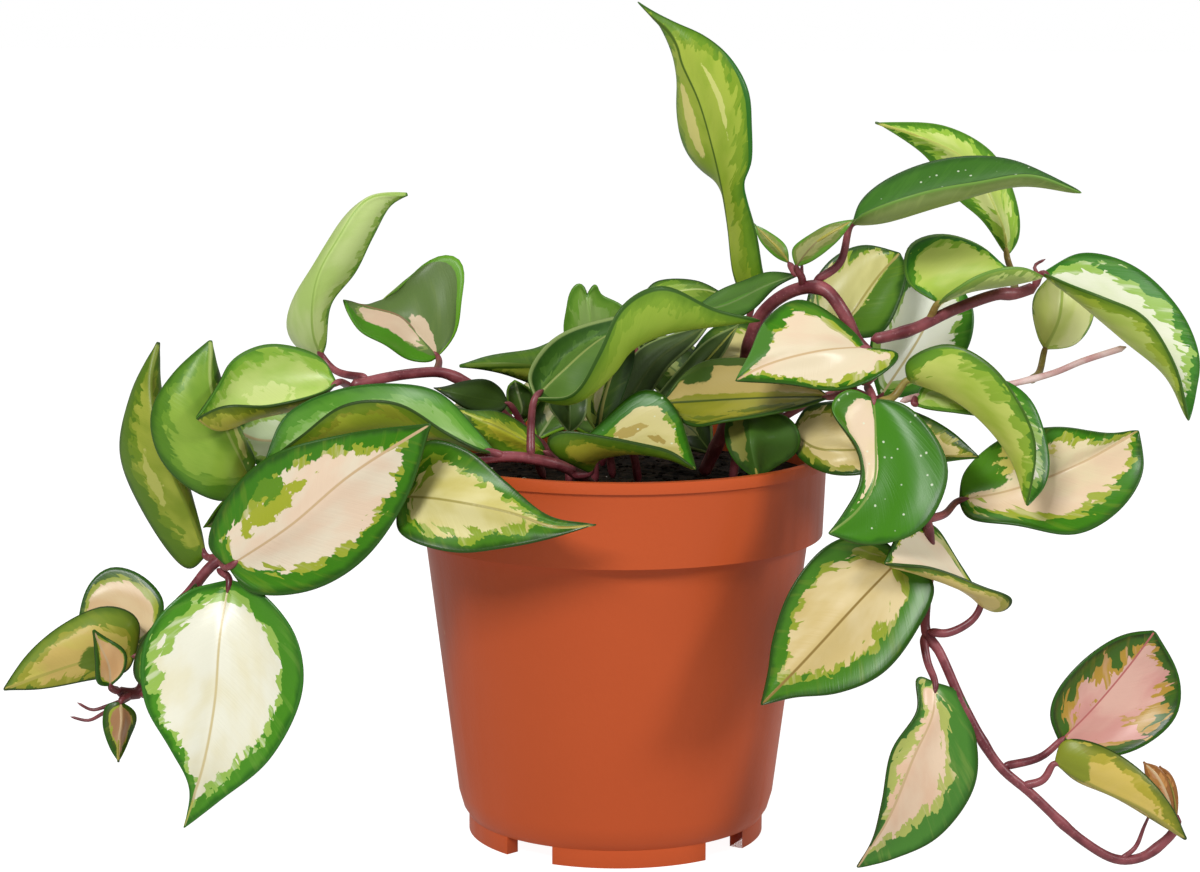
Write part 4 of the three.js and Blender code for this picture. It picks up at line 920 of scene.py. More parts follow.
stem(
    "vine_right_low", 1.3,
    [(68, -38, 131), (71, -44, 123), (77, -48, 111), (82, -50, 100), (84, -48, 88), (83, -48, 77),
     (83, -50, 68), (86, -52, 64), (93, -55, 49), (102, -57, 34), (111, -57, 26), (125, -56, 13),
     (135, -54, 7), (142, -52, 7), (147, -51, 10), (151, -50, 14), (152, -49, 18)],
    twigs=[[(136, -54, 7), (140, -53, 10), (142, -54, 16), (143, -56, 20)]],
    leaflet_coat=closed_coat,
    leaflets=[
        {"base": (151, -50, 16), "tip": (142, -50, 33),
         "left": [(146, -50, 22), (143, -50, 28)], "mid": [(148, -51, 25), (145, -51, 30)],
         "right": [(150, -50, 24), (147, -50, 31)]},
        {"base": (152, -49, 15), "tip": (147, -47, 31),
         "left": [(150, -47, 24), (148, -47, 28)], "mid": [(150, -48, 25)],
         "right": [(152, -47, 24), (150, -47, 29)]},
    ],
)

# ---------------------------------------------------------------- the leaves at the left
# Leaves that hang and stand at the left of the pot, in pairs along the two left stems, some
# showing their pale faces and some only their yellow-green undersides.
leaf(
    "left_outer", "leaf_olive", (-112, -34, 85), (-125, -25, 143),
    left=[(-114, -30, 92), (-117, -27, 102), (-122, -24, 116), (-125, -24, 131)],
    mid=[(-116, -34, 96), (-124, -34, 117), (-127, -29, 133)],
    right=[(-117, -32, 81), (-129, -29, 95), (-136, -26, 112), (-133, -24, 128)],
    stalk=[(-107, -39, 86)],
    top="green", under="olive", widths=(4.0, 6.5), ragged=3.6,
    under_tones={"centre": (162, 170, 62), "tint": (126, 144, 34), "between": (108, 136, 26),
                 "margin": (88, 122, 20), "dark": (64, 98, 12), "rib": (120, 136, 44)},
    blots=[("under", 0.35, 0.4, 0.1, 0.1, 2.4, (176, 178, 88)),
           ("under", -0.4, 0.62, 0.1, 0.1, 2.4, (168, 172, 78))],
)
leaf(
    "left_cupped", "leaf_green", (-100, -34, 107), (-109, -38, 145),
    left=[(-98, -34, 111), (-101, -32, 117), (-105, -32, 126), (-108, -35, 137)],
    mid=[(-105, -42, 121), (-109, -42, 133)],
    right=[(-105, -38, 101), (-115, -42, 105), (-123, -43, 114), (-125, -42, 126), (-119, -40, 136)],
    stalk=[(-97, -38, 100), (-96, -41, 92)],
    top="green", under="green", widths=(3.0, 5.0), ragged=3.6, stalk_coat="orange",
    under_tones={"centre": (140, 172, 60), "tint": (114, 152, 42), "between": (104, 146, 38),
                 "margin": (84, 130, 28), "dark": (60, 104, 20), "rib": (150, 172, 84)},
    blots=[("under", -0.35, 0.3, 0.12, 0.16, 2.4, (192, 200, 112)),
           ("under", -0.3, 0.62, 0.08, 0.1, 2.4, (180, 194, 96)),
           ("under", -0.7, 0.82, 0.5, 0.2, 0.6, (72, 112, 26))],
)
leaf(
    "left_pale", "leaf_green", (-77, -19, 131), (-111, -53, 126),
    left=[(-80, -30, 130), (-93, -42, 128), (-104, -50, 129)],
    mid=[(-86, -29, 126), (-98, -40, 124), (-106, -48, 122)],
    right=[(-81, -20, 138), (-94, -29, 143), (-103, -38, 140), (-106, -45, 134)],
    stalk=[(-75, -5, 128)],
    top="light", under="olive", widths=(1.5, 1.8), ragged=2.6, between=2.4,
    top_tones={"centre": (198, 216, 124), "tint": (172, 202, 92), "between": (150, 190, 68),
               "rim": (70, 118, 26)},
    blots=[("top", 0.25, 0.45, 0.16, 0.14, 2.6, (212, 224, 142)),
           ("top", -0.4, 0.3, 0.12, 0.1, 2.6, (150, 186, 70))],
)
leaf(
    "left_tall", "leaf_green", (-84, 8, 135), (-59, 8, 181),
    left=[(-83, 8, 138), (-81, 6, 150), (-74, 7, 159), (-69, 7, 169), (-64, 8, 178)],
    mid=[(-86, 4, 141), (-86, 1, 150), (-84, 0, 159), (-79, 0, 168), (-70, 3, 180)],
    right=[(-91, 20, 135), (-95, 25, 139), (-93, 25, 145), (-87, 20, 152), (-83, 14, 161),
           (-77, 12, 171), (-68, 10, 178)],
    stalk=[(-80, 6, 131), (-70, -2, 130)],
    top="grey", under="pale", widths=(1.2, 1.2), ragged=1.8, rib=0.25,
    under_tones={"centre": (202, 222, 142), "tint": (184, 212, 116), "between": (156, 190, 84),
                 "margin": (126, 174, 60), "dark": (98, 148, 42), "rib": (158, 188, 92),
                 "rim": (80, 126, 36)},
)
leaf(
    "left_open", "leaf_green", (-52, 23, 133), (-78, 11, 151),
    left=[(-54, 19, 132), (-60, 15, 133), (-66, 10, 138), (-73, 7, 142), (-76, 7, 147)],
    mid=[(-57, 23, 139), (-63, 21, 145), (-71, 16, 148)],
    right=[(-49, 24, 136), (-46, 24, 141), (-45, 25, 150), (-44, 27, 157), (-46, 29, 162),
           (-52, 30, 162), (-59, 30, 157), (-64, 24, 152), (-71, 20, 148)],
    stalk=[(-51, 4, 131)],
    top="grey", under="pale", widths=(5.0, 26.0), ragged=2.0, rib=0.3, gloss=0.42,
    # The grey-green margin colours, which fill the far half, are painted shade over the face's green.
    top_tones={"centre": (230, 208, 176), "tint": (222, 192, 162), "between": (132, 152, 76),
               "margin": (96, 122, 60), "dark": (76, 102, 46), "rib": (146, 112, 80)},
    blots=[("top", -0.85, 0.5, 0.4, 0.6, 0.4, (72, 136, 18)),
           ("top", 0.97, 0.42, 0.09, 0.46, 0.2, (100, 158, 28)),
           ("top", 0.1, 0.2, 0.14, 0.18, 0.8, (222, 198, 166))],
)
leaf(
    "left_arching", "leaf_green", (-32, -48, 116), (-94, -48, 113),
    left=[(-37, -52, 118), (-45, -55, 123), (-58, -56, 131), (-72, -54, 130), (-84, -51, 121)],
    mid=[(-44, -50, 119), (-58, -46, 119), (-74, -45, 117), (-86, -46, 115)],
    right=[(-37, -42, 121), (-48, -36, 131), (-60, -34, 133), (-77, -36, 131), (-89, -42, 125)],
    stalk=[(-30, -47, 115)],
    top="light", under="olive", widths=(3.0, 4.0), ragged=2.4, rib=0.3,
    top_tones={"centre": (152, 186, 112), "tint": (128, 170, 86), "between": (110, 160, 62),
               "margin": (86, 144, 42), "dark": (62, 118, 28), "rim": (42, 94, 20)},
    under_tones={"centre": (168, 178, 54), "tint": (146, 162, 40), "margin": (116, 142, 28),
                 "dark": (92, 120, 20)},
)
leaf(
    "left_big_pink", "leaf_pink", (-104, -49, 85), (-48, -68, 127),
    left=[(-109, -50, 91), (-104, -51, 104), (-92, -54, 116), (-70, -58, 123)],
    mid=[(-86, -57, 98), (-70, -61, 112)],
    right=[(-98, -52, 79), (-82, -57, 80), (-67, -62, 89), (-55, -66, 106)],
    stalk=[(-107, -42, 86)],
    top="pink", under="olive", widths=(5.0, 5.5), ragged=3.4,
    blots=[("top", -0.4, 0.32, 0.16, 0.15, 2.0, (164, 172, 48)),
           ("top", -0.62, 0.36, 0.16, 0.05, 2.2, (96, 142, 26))],
)
leaf(
    "left_cream", "leaf_cream", (-58, -52, 105), (-5, -75, 102),
    left=[(-51, -53, 120), (-40, -57, 119), (-29, -62, 111), (-17, -70, 103)],
    mid=[(-46, -62, 106), (-28, -69, 104), (-15, -74, 101)],
    right=[(-57, -62, 97), (-43, -68, 93), (-29, -72, 95), (-17, -74, 98)],
    stalk=[(-58, -46, 109)],
    top="cream", under="olive", widths=(4.4, 4.0), ragged=3.4,
)
leaf(
    "left_big_white", "leaf_cream", (-104, -45, 81), (-116, -57, 15),
    left=[(-95, -51, 79), (-85, -56, 68), (-83, -58, 54), (-92, -59, 35), (-106, -58, 23)],
    mid=[(-106, -52, 66), (-107, -56, 50), (-110, -59, 33)],
    right=[(-116, -49, 78), (-126, -53, 66), (-126, -56, 50), (-119, -57, 37), (-114, -57, 26)],
    stalk=[(-108, -41, 83)],
    top="white", under="yellow", widths=(5.6, 3.4), ragged=3.6, between=2.0,
)
leaf(
    "left_low_beige", "leaf_pink", (-128, -26, 60), (-151, -18, 60),
    left=[(-135, -22, 55), (-144, -20, 54)],
    mid=[(-136, -22, 65), (-144, -20, 66)],
    right=[(-126, -18, 69), (-133, -14, 76), (-142, -13, 78), (-148, -15, 73)],
    stalk=[(-126, -34, 60)],
    top="pink", under="olive", widths=(2.0, 2.4), ragged=1.8,
    top_tones={"centre": (232, 206, 162), "tint": (222, 188, 142), "margin": (84, 116, 36)},
)
leaf(
    "left_low_olive", "leaf_olive", (-132, -33, 57), (-167, -40, 49),
    left=[(-131, -31, 67), (-139, -32, 71), (-150, -34, 67), (-160, -37, 59)],
    mid=[(-142, -37, 57), (-156, -39, 53)],
    right=[(-134, -35, 53), (-145, -38, 51), (-157, -39, 49)],
    stalk=[(-128, -34, 56)],
    top="green", under="olive", widths=(4.6, 1.6), ragged=3.0, gloss=0.42,
    under_tones={"centre": (190, 180, 82), "tint": (196, 170, 92), "between": (150, 150, 44),
                 "margin": (112, 134, 28), "dark": (80, 108, 18)},
    blots=[("under", 0.1, 0.3, 0.4, 0.12, 1.0, (92, 116, 26))],
)
leaf(
    "left_young_pink", "leaf_pink", (-137, -44, 51), (-140, -50, 68),
    left=[(-140, -46, 52), (-140, -48, 59), (-140, -49, 64)],
    mid=[(-137, -45, 57), (-139, -47, 63)],
    right=[(-133, -45, 55), (-132, -46, 61), (-137, -47, 65)],
    stalk=[(-136, -37, 48)],
    top="pink", under="olive", widths=(1.6, 0.6), ragged=0.8, between=0.4,
    top_tones={"centre": (222, 184, 130), "tint": (212, 164, 110)},
)
leaf(
    "left_young_low", "leaf_pink", (-135, -40, 46), (-135, -45, 30),
    left=[(-131, -38, 42), (-133, -39, 35)],
    mid=[(-134, -44, 41), (-135, -44, 35)],
    right=[(-139, -40, 45), (-140, -41, 41), (-138, -43, 34)],
    stalk=[(-133, -35, 47)],
    top="pink", under="olive", widths=(1.8, 2.4), ragged=1.0, between=0.6,
    top_tones={"centre": (188, 148, 108), "tint": (170, 126, 86), "margin": (72, 88, 26)},
)
leaf(
    "left_strip", "leaf_olive", (-126, -43, 49), (-113, -46, 80),
    left=[(-131, -42, 53), (-129, -42, 63), (-120, -44, 73)],
    mid=[(-125, -43, 57), (-118, -44, 68)],
    right=[(-122, -41, 52), (-114, -42, 61), (-111, -44, 71)],
    stalk=[(-130, -36, 47)],
    top="green", under="olive", widths=(1.6, 1.6), ragged=1.4,
    top_tones={"centre": (166, 160, 62), "tint": (144, 144, 44), "margin": (104, 120, 30),
               "rim": (48, 66, 18)},
)
leaf(
    "left_back_bit", "leaf_green", (-94, -12, 103), (-115, -18, 90),
    left=[(-99, -14, 95), (-108, -16, 90)],
    mid=[(-102, -16, 97), (-109, -17, 92)],
    right=[(-104, -11, 101), (-110, -14, 97)],
    stalk=[(-88, -18, 102), (-78, -41, 99)],
    top="grey", under="green", widths=(2.0, 2.0), ragged=1.6,
)
leaf(
    "left_back_pale", "leaf_cream", (-81, -8, 109), (-107, -12, 117),
    left=[(-89, -8, 105), (-99, -10, 105)],
    mid=[(-91, -12, 113), (-101, -12, 114)],
    right=[(-86, -6, 120), (-100, -6, 121)],
    stalk=[(-76, -16, 106), (-70, -42, 104)],
    top="white", under="pale", widths=(1.4, 1.4), ragged=1.6,
    top_tones={"centre": (212, 224, 188), "tint": (198, 214, 168), "margin": (150, 186, 100)},
)

# ---------------------------------------------------------------- the leaves over the pot
# Leaves crowded over the soil, most of them half folded, with one tall leaf that stands up behind.
# Their stalks go down into the crowd, to a stem or to the soil.
leaf(
    "mid_left_point", "leaf_green", (-8, 10, 129), (-44, -14, 135),
    left=[(-13, 11, 140), (-24, 0, 138), (-36, -9, 137)],
    mid=[(-20, 0, 133), (-33, -10, 135)],
    right=[(-13, 11, 122), (-24, 1, 128), (-34, -9, 133)],
    stalk=[(-5, 10, 118), (-4, 8, 103)],
    top="green", under="green", widths=(20.0, 2.2), ragged=2.2, rib=0.3,
    under_tones={"centre": (198, 208, 80), "tint": (176, 194, 64), "between": (130, 160, 44),
                 "margin": (76, 112, 28), "dark": (56, 92, 20), "rib": (100, 126, 40)},
)
leaf(
    "mid_jagged", "leaf_green", (-5, 40, 115), (-9, 33, 150),
    left=[(-13, 36, 131), (-16, 35, 139), (-15, 34, 146), (-14, 34, 151), (-11, 34, 154)],
    mid=[(-7, 33, 134), (-8, 32, 143)],
    right=[(7, 40, 130), (5, 37, 143), (0, 36, 148), (-5, 35, 150), (-6, 34, 154)],
    stalk=[(-2, 34, 112), (0, 30, 103)],
    top="light", under="yellow", widths=(3.0, 3.0), ragged=3.0, rib=0.25,
    top_tones={"centre": (146, 178, 96), "tint": (124, 166, 72), "between": (122, 164, 66),
               "margin": (114, 160, 56), "dark": (86, 136, 38), "rib": (136, 172, 84)},
)
leaf(
    "mid_big", "leaf_green", (-22, -42, 130), (39, -30, 150),
    left=[(-24, -32, 136), (-18, -27, 144), (-5, -23, 149), (17, -22, 152)],
    mid=[(-15, -34, 136), (-2, -30, 146), (17, -27, 150)],
    right=[(-12, -48, 132), (-5, -52, 144), (1, -50, 156), (11, -46, 161), (26, -36, 154)],
    stalk=[(-23, -42, 123), (-23, -45, 114)],
    cup=0.4, top="dark", under="olive", widths=(3.0, 3.0), ragged=2.8, rib=0.3, gloss=0.44,
    top_tones={"centre": (98, 134, 52), "tint": (80, 118, 40), "between": (72, 112, 34),
               "margin": (58, 98, 24), "dark": (42, 80, 16), "rib": (146, 162, 84)},
    under_tones={"centre": (152, 180, 58), "tint": (140, 172, 50), "between": (134, 168, 46),
                 "margin": (126, 162, 42), "dark": (100, 140, 30), "rib": (146, 156, 62),
                 "rim": (52, 90, 18)},
    blots=[("under", 0.35, 0.48, 0.06, 0.13, 2.2, (208, 206, 118)),
           ("under", 0.3, 0.7, 0.04, 0.06, 2.0, (192, 198, 98)),
           ("under", 0.5, 0.16, 0.16, 0.08, 1.4, (196, 190, 92))],
)
leaf(
    "mid_curled", "leaf_green", (-7, -43, 110), (21, -54, 113),
    left=[(-14, -38, 115), (-7, -36, 120), (0, -33, 127), (5, -32, 131), (8, -32, 132), (13, -34, 130),
          (17, -38, 125), (19, -45, 119)],
    mid=[(-5, -44, 114), (4, -46, 116), (12, -49, 116)],
    right=[(-18, -49, 117), (-19, -51, 121), (-15, -52, 123), (-4, -54, 122), (6, -55, 120),
           (14, -55, 118)],
    stalk=[(-12, -41, 109)],
    top="cream", under="olive", widths=(4.6, 5.0), ragged=3.0, flecks=0.2,
    top_tones={"centre": (212, 200, 140), "tint": (190, 178, 104), "between": (120, 152, 40),
               "margin": (54, 116, 20), "dark": (36, 86, 12)},
    under_tones={"centre": (176, 174, 56), "tint": (148, 156, 40), "between": (120, 142, 32),
                 "margin": (88, 124, 24), "dark": (66, 104, 18)},
    blots=[("top", -0.5, 0.42, 0.08, 0.08, 3.4, (182, 160, 92)),
           ("top", -0.3, 0.6, 0.06, 0.06, 3.4, (170, 148, 80))],
)
leaf(
    "mid_standing", "leaf_cream", (-5, -23, 117), (3, -15, 148),
    left=[(-9, -23, 123), (-9, -21, 129), (-6, -18, 137)],
    mid=[(-4, -24, 126), (-1, -21, 136)],
    right=[(-1, -22, 122), (3, -19, 131), (5, -17, 139)],
    stalk=[(-6, -21, 112), (-6, -20, 103)],
    top="cream", under="yellow", widths=(1.8, 20.0), ragged=1.8, gloss=0.44,
    top_tones={"centre": (230, 220, 172), "tint": (216, 208, 152), "between": (150, 168, 70),
               "margin": (60, 92, 28), "dark": (42, 72, 18), "rib": (150, 150, 80)},
    blots=[("top", -0.95, 0.45, 0.35, 0.7, 0.4, (166, 190, 86))],
)
leaf(
    "mid_dark_a", "leaf_green", (-3, -16, 116), (26, -3, 146),
    left=[(-2, -15, 124), (1, -10, 131), (6, -6, 139)],
    mid=[(2, -17, 124), (10, -12, 136)],
    right=[(7, -15, 124), (14, -11, 134), (22, -7, 141)],
    stalk=[(-2, -13, 110), (-1, -12, 103)],
    top="dark", under="yellow", widths=(8.0, 8.0), ragged=1.0, rib=0.25, gloss=0.52,
    top_tones={"margin": (72, 94, 40), "dark": (54, 74, 28), "rib": (90, 106, 54)},
)
leaf(
    "mid_dark_b", "leaf_green", (3, -25, 118), (34, -11, 147),
    left=[(9, -23, 126), (17, -18, 135), (24, -14, 142)],
    mid=[(11, -25, 125), (20, -21, 133)],
    right=[(14, -23, 123), (21, -20, 130), (29, -15, 138)],
    stalk=[(5, -22, 110), (6, -20, 103)],
    top="dark", under="yellow", widths=(8.0, 8.0), ragged=1.0, rib=0.25, gloss=0.5,
    top_tones={"margin": (82, 108, 44), "dark": (60, 86, 30), "rib": (100, 120, 62)},
)
leaf(
    "mid_olive_end", "leaf_olive", (-30, -16, 125), (-50, -28, 131),
    left=[(-32, -20, 123), (-40, -24, 124), (-46, -27, 128)],
    mid=[(-38, -21, 127), (-44, -26, 129)],
    right=[(-32, -15, 129), (-36, -18, 132), (-42, -22, 132), (-47, -26, 131)],
    stalk=[(-27, -14, 120), (-20, -14, 103)],
    top="dark", under="olive", widths=(8.0, 8.0), ragged=1.0, rib=0.2, gloss=0.5,
    top_tones={"margin": (56, 82, 20), "dark": (40, 62, 12), "rib": (62, 88, 26), "rim": (34, 54, 12)},
)
leaf(
    "mid_yellow", "leaf_olive", (-19, -28, 113), (-44, -33, 126),
    left=[(-24, -32, 111), (-32, -34, 113), (-38, -35, 119), (-42, -34, 124)],
    mid=[(-26, -36, 118), (-34, -36, 122)],
    right=[(-22, -29, 118), (-27, -29, 122), (-33, -30, 125), (-39, -31, 125)],
    stalk=[(-17, -26, 110), (-15, -24, 108)],
    top="cream", under="yellow", widths=(2.4, 2.4), ragged=2.8, rib=0.3, gloss=0.4,
    top_tones={"centre": (208, 200, 62), "tint": (182, 188, 48), "between": (142, 162, 36),
               "margin": (88, 128, 22), "dark": (66, 100, 14), "rib": (150, 152, 46)},
)
leaf(
    "mid_short_dark", "leaf_green", (-13, -28, 118), (-11, -21, 134),
    left=[(-16, -29, 122), (-19, -26, 126), (-17, -23, 131)],
    mid=[(-13, -31, 125), (-13, -27, 130)],
    right=[(-9, -28, 122), (-8, -26, 127), (-9, -23, 131)],
    stalk=[(-13, -28, 112), (-13, -28, 103)],
    top="dark", under="olive", widths=(6.0, 6.0), ragged=1.0, rib=0.25, gloss=0.5,
    top_tones={"margin": (86, 116, 54), "dark": (64, 94, 38), "rib": (106, 132, 72),
               "rim": (140, 162, 100)},
)
leaf(
    "mid_pink", "leaf_pink", (67, -34, 143), (31, -50, 136),
    left=[(76, -36, 142), (71, -42, 137), (59, -47, 133), (46, -49, 135)],
    mid=[(54, -42, 143), (40, -47, 140)],
    right=[(63, -32, 148), (49, -31, 156), (40, -34, 151), (35, -42, 142)],
    stalk=[(69, -29, 139)],
    top="pink", under="olive", widths=(1.9, 3.2), ragged=2.8,
    blots=[("top", 0.8, 0.8, 0.45, 0.2, 0.8, (74, 124, 44))],
    top_tones={"centre": (232, 216, 184), "tint": (232, 206, 176)},
)
leaf(
    "mid_long_olive", "leaf_olive", (58, -30, 129), (12, -30, 127),
    left=[(49, -36, 127), (40, -41, 126), (29, -42, 124), (20, -38, 122)],
    mid=[(44, -32, 129), (29, -30, 128)],
    right=[(50, -26, 134), (42, -24, 138), (32, -24, 139), (23, -25, 138), (17, -28, 134)],
    stalk=[(65, -32, 132)],
    top="cream", under="yellow", widths=(1.4, 1.8), ragged=2.2, rib=0.45, gloss=0.42,
    top_tones={"centre": (168, 162, 48), "tint": (142, 144, 34), "between": (130, 138, 32),
               "margin": (88, 108, 20), "dark": (62, 84, 12), "rib": (74, 90, 22)},
    blots=[("top", 0.55, 0.5, 0.4, 0.55, 0.5, (196, 174, 104)),
           ("top", 0.85, 0.74, 0.34, 0.09, 0.8, (62, 92, 22)),
           ("top", 0.98, 0.4, 0.16, 0.5, 0.6, (70, 96, 26)),
           ("top", -0.45, 0.4, 0.12, 0.16, 2.0, (112, 126, 28)),
           ("top", -0.6, 0.7, 0.1, 0.1, 2.0, (112, 126, 28))],
)
leaf(
    "mid_cream_back", "leaf_cream", (37, -8, 138), (19, -12, 136),
    left=[(36, -10, 133), (29, -12, 131), (22, -12, 132)],
    mid=[(33, -13, 136), (27, -14, 135)],
    right=[(38, 0, 146), (32, -2, 147), (25, -6, 144)],
    stalk=[(40, -15, 147)],
    top="cream", under="olive", widths=(2.0, 2.6), ragged=2.2,
    top_tones={"centre": (208, 198, 132), "margin": (74, 106, 32)},
)
leaf(
    "mid_green_tip", "leaf_green", (21, 8, 148), (50, -6, 160),
    left=[(29, 11, 154), (36, 9, 157), (43, 2, 160)],
    mid=[(31, 1, 151), (40, -3, 156)],
    right=[(32, -2, 147), (38, -4, 150), (43, -6, 156)],
    stalk=[(18, 15, 140), (18, 20, 128), (18, 16, 103)],
    top="green", under="olive", widths=(9.0, 9.0), ragged=1.0, rib=0.3, gloss=0.46,
    top_tones={"margin": (86, 130, 46), "dark": (64, 108, 30), "rib": (116, 146, 78)},
)
leaf(
    "mid_back_top", "leaf_green", (6, 32, 148), (32, 34, 150),
    left=[(11, 34, 154), (23, 36, 154)],
    mid=[(15, 30, 151), (24, 32, 152)],
    right=[(13, 28, 147), (26, 30, 147)],
    stalk=[(6, 36, 136), (6, 28, 103)],
    top="light", under="yellow", widths=(2.2, 2.2), ragged=2.4, rib=0.25, gloss=0.42,
    top_tones={"centre": (146, 176, 62), "tint": (128, 160, 50), "between": (114, 152, 42),
               "margin": (94, 138, 32), "dark": (70, 110, 20), "rim": (38, 70, 12)},
)
leaf(
    "tall", "leaf_green", (39, 26, 151), (5, 20, 235),
    left=[(43, 23, 154), (42, 22, 158), (40, 21, 169), (37, 20, 179), (36, 19, 184), (38, 18, 189),
          (38, 17, 200), (37, 17, 210), (32, 18, 219), (25, 18, 225), (16, 19, 229), (10, 20, 232)],
    mid=[(36, 27, 153), (34, 27, 157), (32, 25, 171), (30, 21, 182), (27, 19, 194), (23, 18, 207),
         (18, 18, 218), (17, 18, 222), (14, 19, 227), (9, 20, 231)],
    right=[(37, 33, 152), (37, 34, 157), (36, 34, 171), (33, 31, 180), (23, 29, 188), (19, 29, 194),
           (17, 28, 203), (17, 25, 215), (15, 22, 222), (12, 21, 228), (9, 20, 232)],
    stalk=[(38, 28, 143), (34, 30, 125), (28, 26, 103)],
    top="green", under="green", widths=(3.0, 2.0), ragged=3.0, between=2.0, rib=0.28,
    top_tones={"centre": (170, 188, 66), "tint": (142, 170, 46), "between": (130, 160, 38),
               "margin": (110, 150, 32), "dark": (84, 128, 22), "rib": (84, 110, 26)},
    under_tones={"centre": (168, 186, 66), "tint": (142, 170, 44), "between": (130, 160, 38),
                 "margin": (110, 150, 32), "dark": (84, 128, 22), "rib": (80, 108, 24)},
    blots=[("under", 0.35, 0.6, 0.14, 0.12, 0.8, (222, 214, 128)),
           ("top", 0.3, 0.42, 0.14, 0.1, 0.6, (222, 214, 128)),
           ("under", -0.4, 0.62, 0.05, 0.1, 1.6, (208, 212, 120)),
           ("top", 0.5, 0.17, 0.25, 0.14, 0.5, (216, 202, 124)),
           ("under", -0.97, 0.5, 0.1, 0.24, 0.3, (44, 108, 26))],
)
leaf(
    "mid_small_dark", "leaf_green", (36, -29, 125), (38, -41, 108),
    left=[(46, -31, 124), (50, -34, 119), (49, -33, 114), (44, -35, 111)],
    mid=[(36, -40, 119), (37, -41, 113)],
    right=[(30, -30, 123), (29, -33, 118), (31, -37, 113), (34, -38, 110)],
    stalk=[(35, -24, 119), (33, -19, 112), (32, -17, 103)],
    top="green", under="olive", widths=(18.0, 18.0), ragged=1.0, rib=0.2, gloss=0.52,
    top_tones={"margin": (62, 98, 28), "dark": (42, 72, 16), "rib": (66, 100, 32)},
    blots=[("top", 0.5, 0.45, 0.3, 0.28, 1.2, (138, 138, 66))],
)

# ---------------------------------------------------------------- the leaves at the right
# Leaves along the right stems, some in the light with pink and cream middles, the lowest of them
# hanging beside the pot and beyond it.
leaf(
    "right_yellow", "leaf_cream", (48, -20, 118), (97, -44, 115),
    left=[(52, -20, 125), (57, -24, 127), (69, -26, 128), (82, -32, 125), (90, -38, 121)],
    mid=[(55, -38, 116), (71, -40, 116), (82, -42, 115)],
    right=[(49, -32, 113), (55, -40, 110), (62, -45, 110), (78, -46, 113)],
    stalk=[(45, -14, 117), (43, -9, 111), (41, -6, 103)],
    top="cream", under="yellow", widths=(2.0, 2.0), ragged=2.6,
    top_tones={"centre": (228, 208, 148), "tint": (214, 192, 122), "between": (160, 160, 60),
               "margin": (106, 130, 28)},
)
leaf(
    "right_hanging", "leaf_green", (68, -46, 131), (55, -66, 98),
    left=[(76, -50, 130), (84, -56, 122), (87, -60, 113), (80, -64, 99), (66, -66, 95)],
    mid=[(68, -54, 121), (67, -60, 110), (62, -64, 103)],
    right=[(61, -50, 134), (56, -54, 130), (63, -59, 120), (64, -61, 112), (59, -64, 103)],
    stalk=[(67, -36, 133)],
    top="green", under="olive", widths=(22.0, 1.8), ragged=2.2, between=1.2, flecks=0.3, gloss=0.36,
    top_tones={"centre": (226, 208, 162), "tint": (230, 206, 176), "between": (62, 124, 14),
               "margin": (62, 124, 14), "dark": (42, 96, 8), "rib": (120, 148, 66)},
    blots=[("top", 0.95, 0.28, 0.3, 0.24, 0.8, (66, 120, 20))],
)
leaf(
    "right_back_cream", "leaf_cream", (62, 13, 140), (81, 20, 164),
    left=[(54, 19, 148), (60, 21, 161), (70, 22, 166)],
    mid=[(68, 13, 149), (75, 17, 158)],
    right=[(75, 13, 141), (81, 17, 150), (83, 20, 159)],
    stalk=[(61, 15, 137), (53, 19, 127), (38, 18, 103)],
    top="cream", under="yellow", widths=(1.8, 10.0), ragged=3.2,
    top_tones={"centre": (212, 206, 138), "tint": (196, 190, 120), "margin": (82, 124, 30)},
)
leaf(
    "right_back_white", "leaf_cream", (76, 24, 121), (101, 34, 152),
    left=[(73, 26, 135), (80, 32, 152), (91, 36, 159)],
    mid=[(86, 26, 136), (93, 30, 147)],
    right=[(90, 24, 123), (102, 28, 135), (104, 32, 146)],
    stalk=[(67, 20, 124), (56, 17, 121), (42, 14, 112), (38, 13, 103)],
    top="white", under="pale", widths=(2.0, 4.0), ragged=3.0,
    # Its centre is whiter than the leaf's own white: painted light on a leaf that stands in shade.
    top_tones={"centre": (250, 252, 238), "tint": (246, 248, 226)},
)
leaf(
    "right_top_small_a", "leaf_green", (47, -19, 164), (37, -16, 175),
    left=[(43, -18, 166), (39, -17, 170)],
    mid=[(44, -20, 168), (40, -18, 172)],
    right=[(46, -18, 169), (41, -17, 173)],
    stalk=[(49, -22, 161)],
    top="light", under="olive", widths=(0.8, 0.8), ragged=0.8, rib=0.2,
    top_tones={"centre": (166, 170, 104), "tint": (136, 150, 76), "between": (126, 142, 66),
               "margin": (106, 126, 50), "rib": (150, 140, 92)},
)
leaf(
    "right_top_small_b", "leaf_green", (48, -28, 164), (63, -38, 178),
    left=[(47, -28, 169), (50, -30, 172), (56, -34, 176)],
    mid=[(52, -36, 171), (56, -38, 174)],
    right=[(52, -33, 166), (58, -36, 171), (61, -38, 175)],
    stalk=[(50, -26, 161), (50, -24, 158)],
    top="light", under="olive", widths=(0.9, 0.9), ragged=1.2, rib=0.2,
    top_tones={"centre": (168, 170, 106), "tint": (138, 150, 76), "between": (126, 142, 66),
               "margin": (106, 126, 50), "rib": (150, 136, 92)},
)
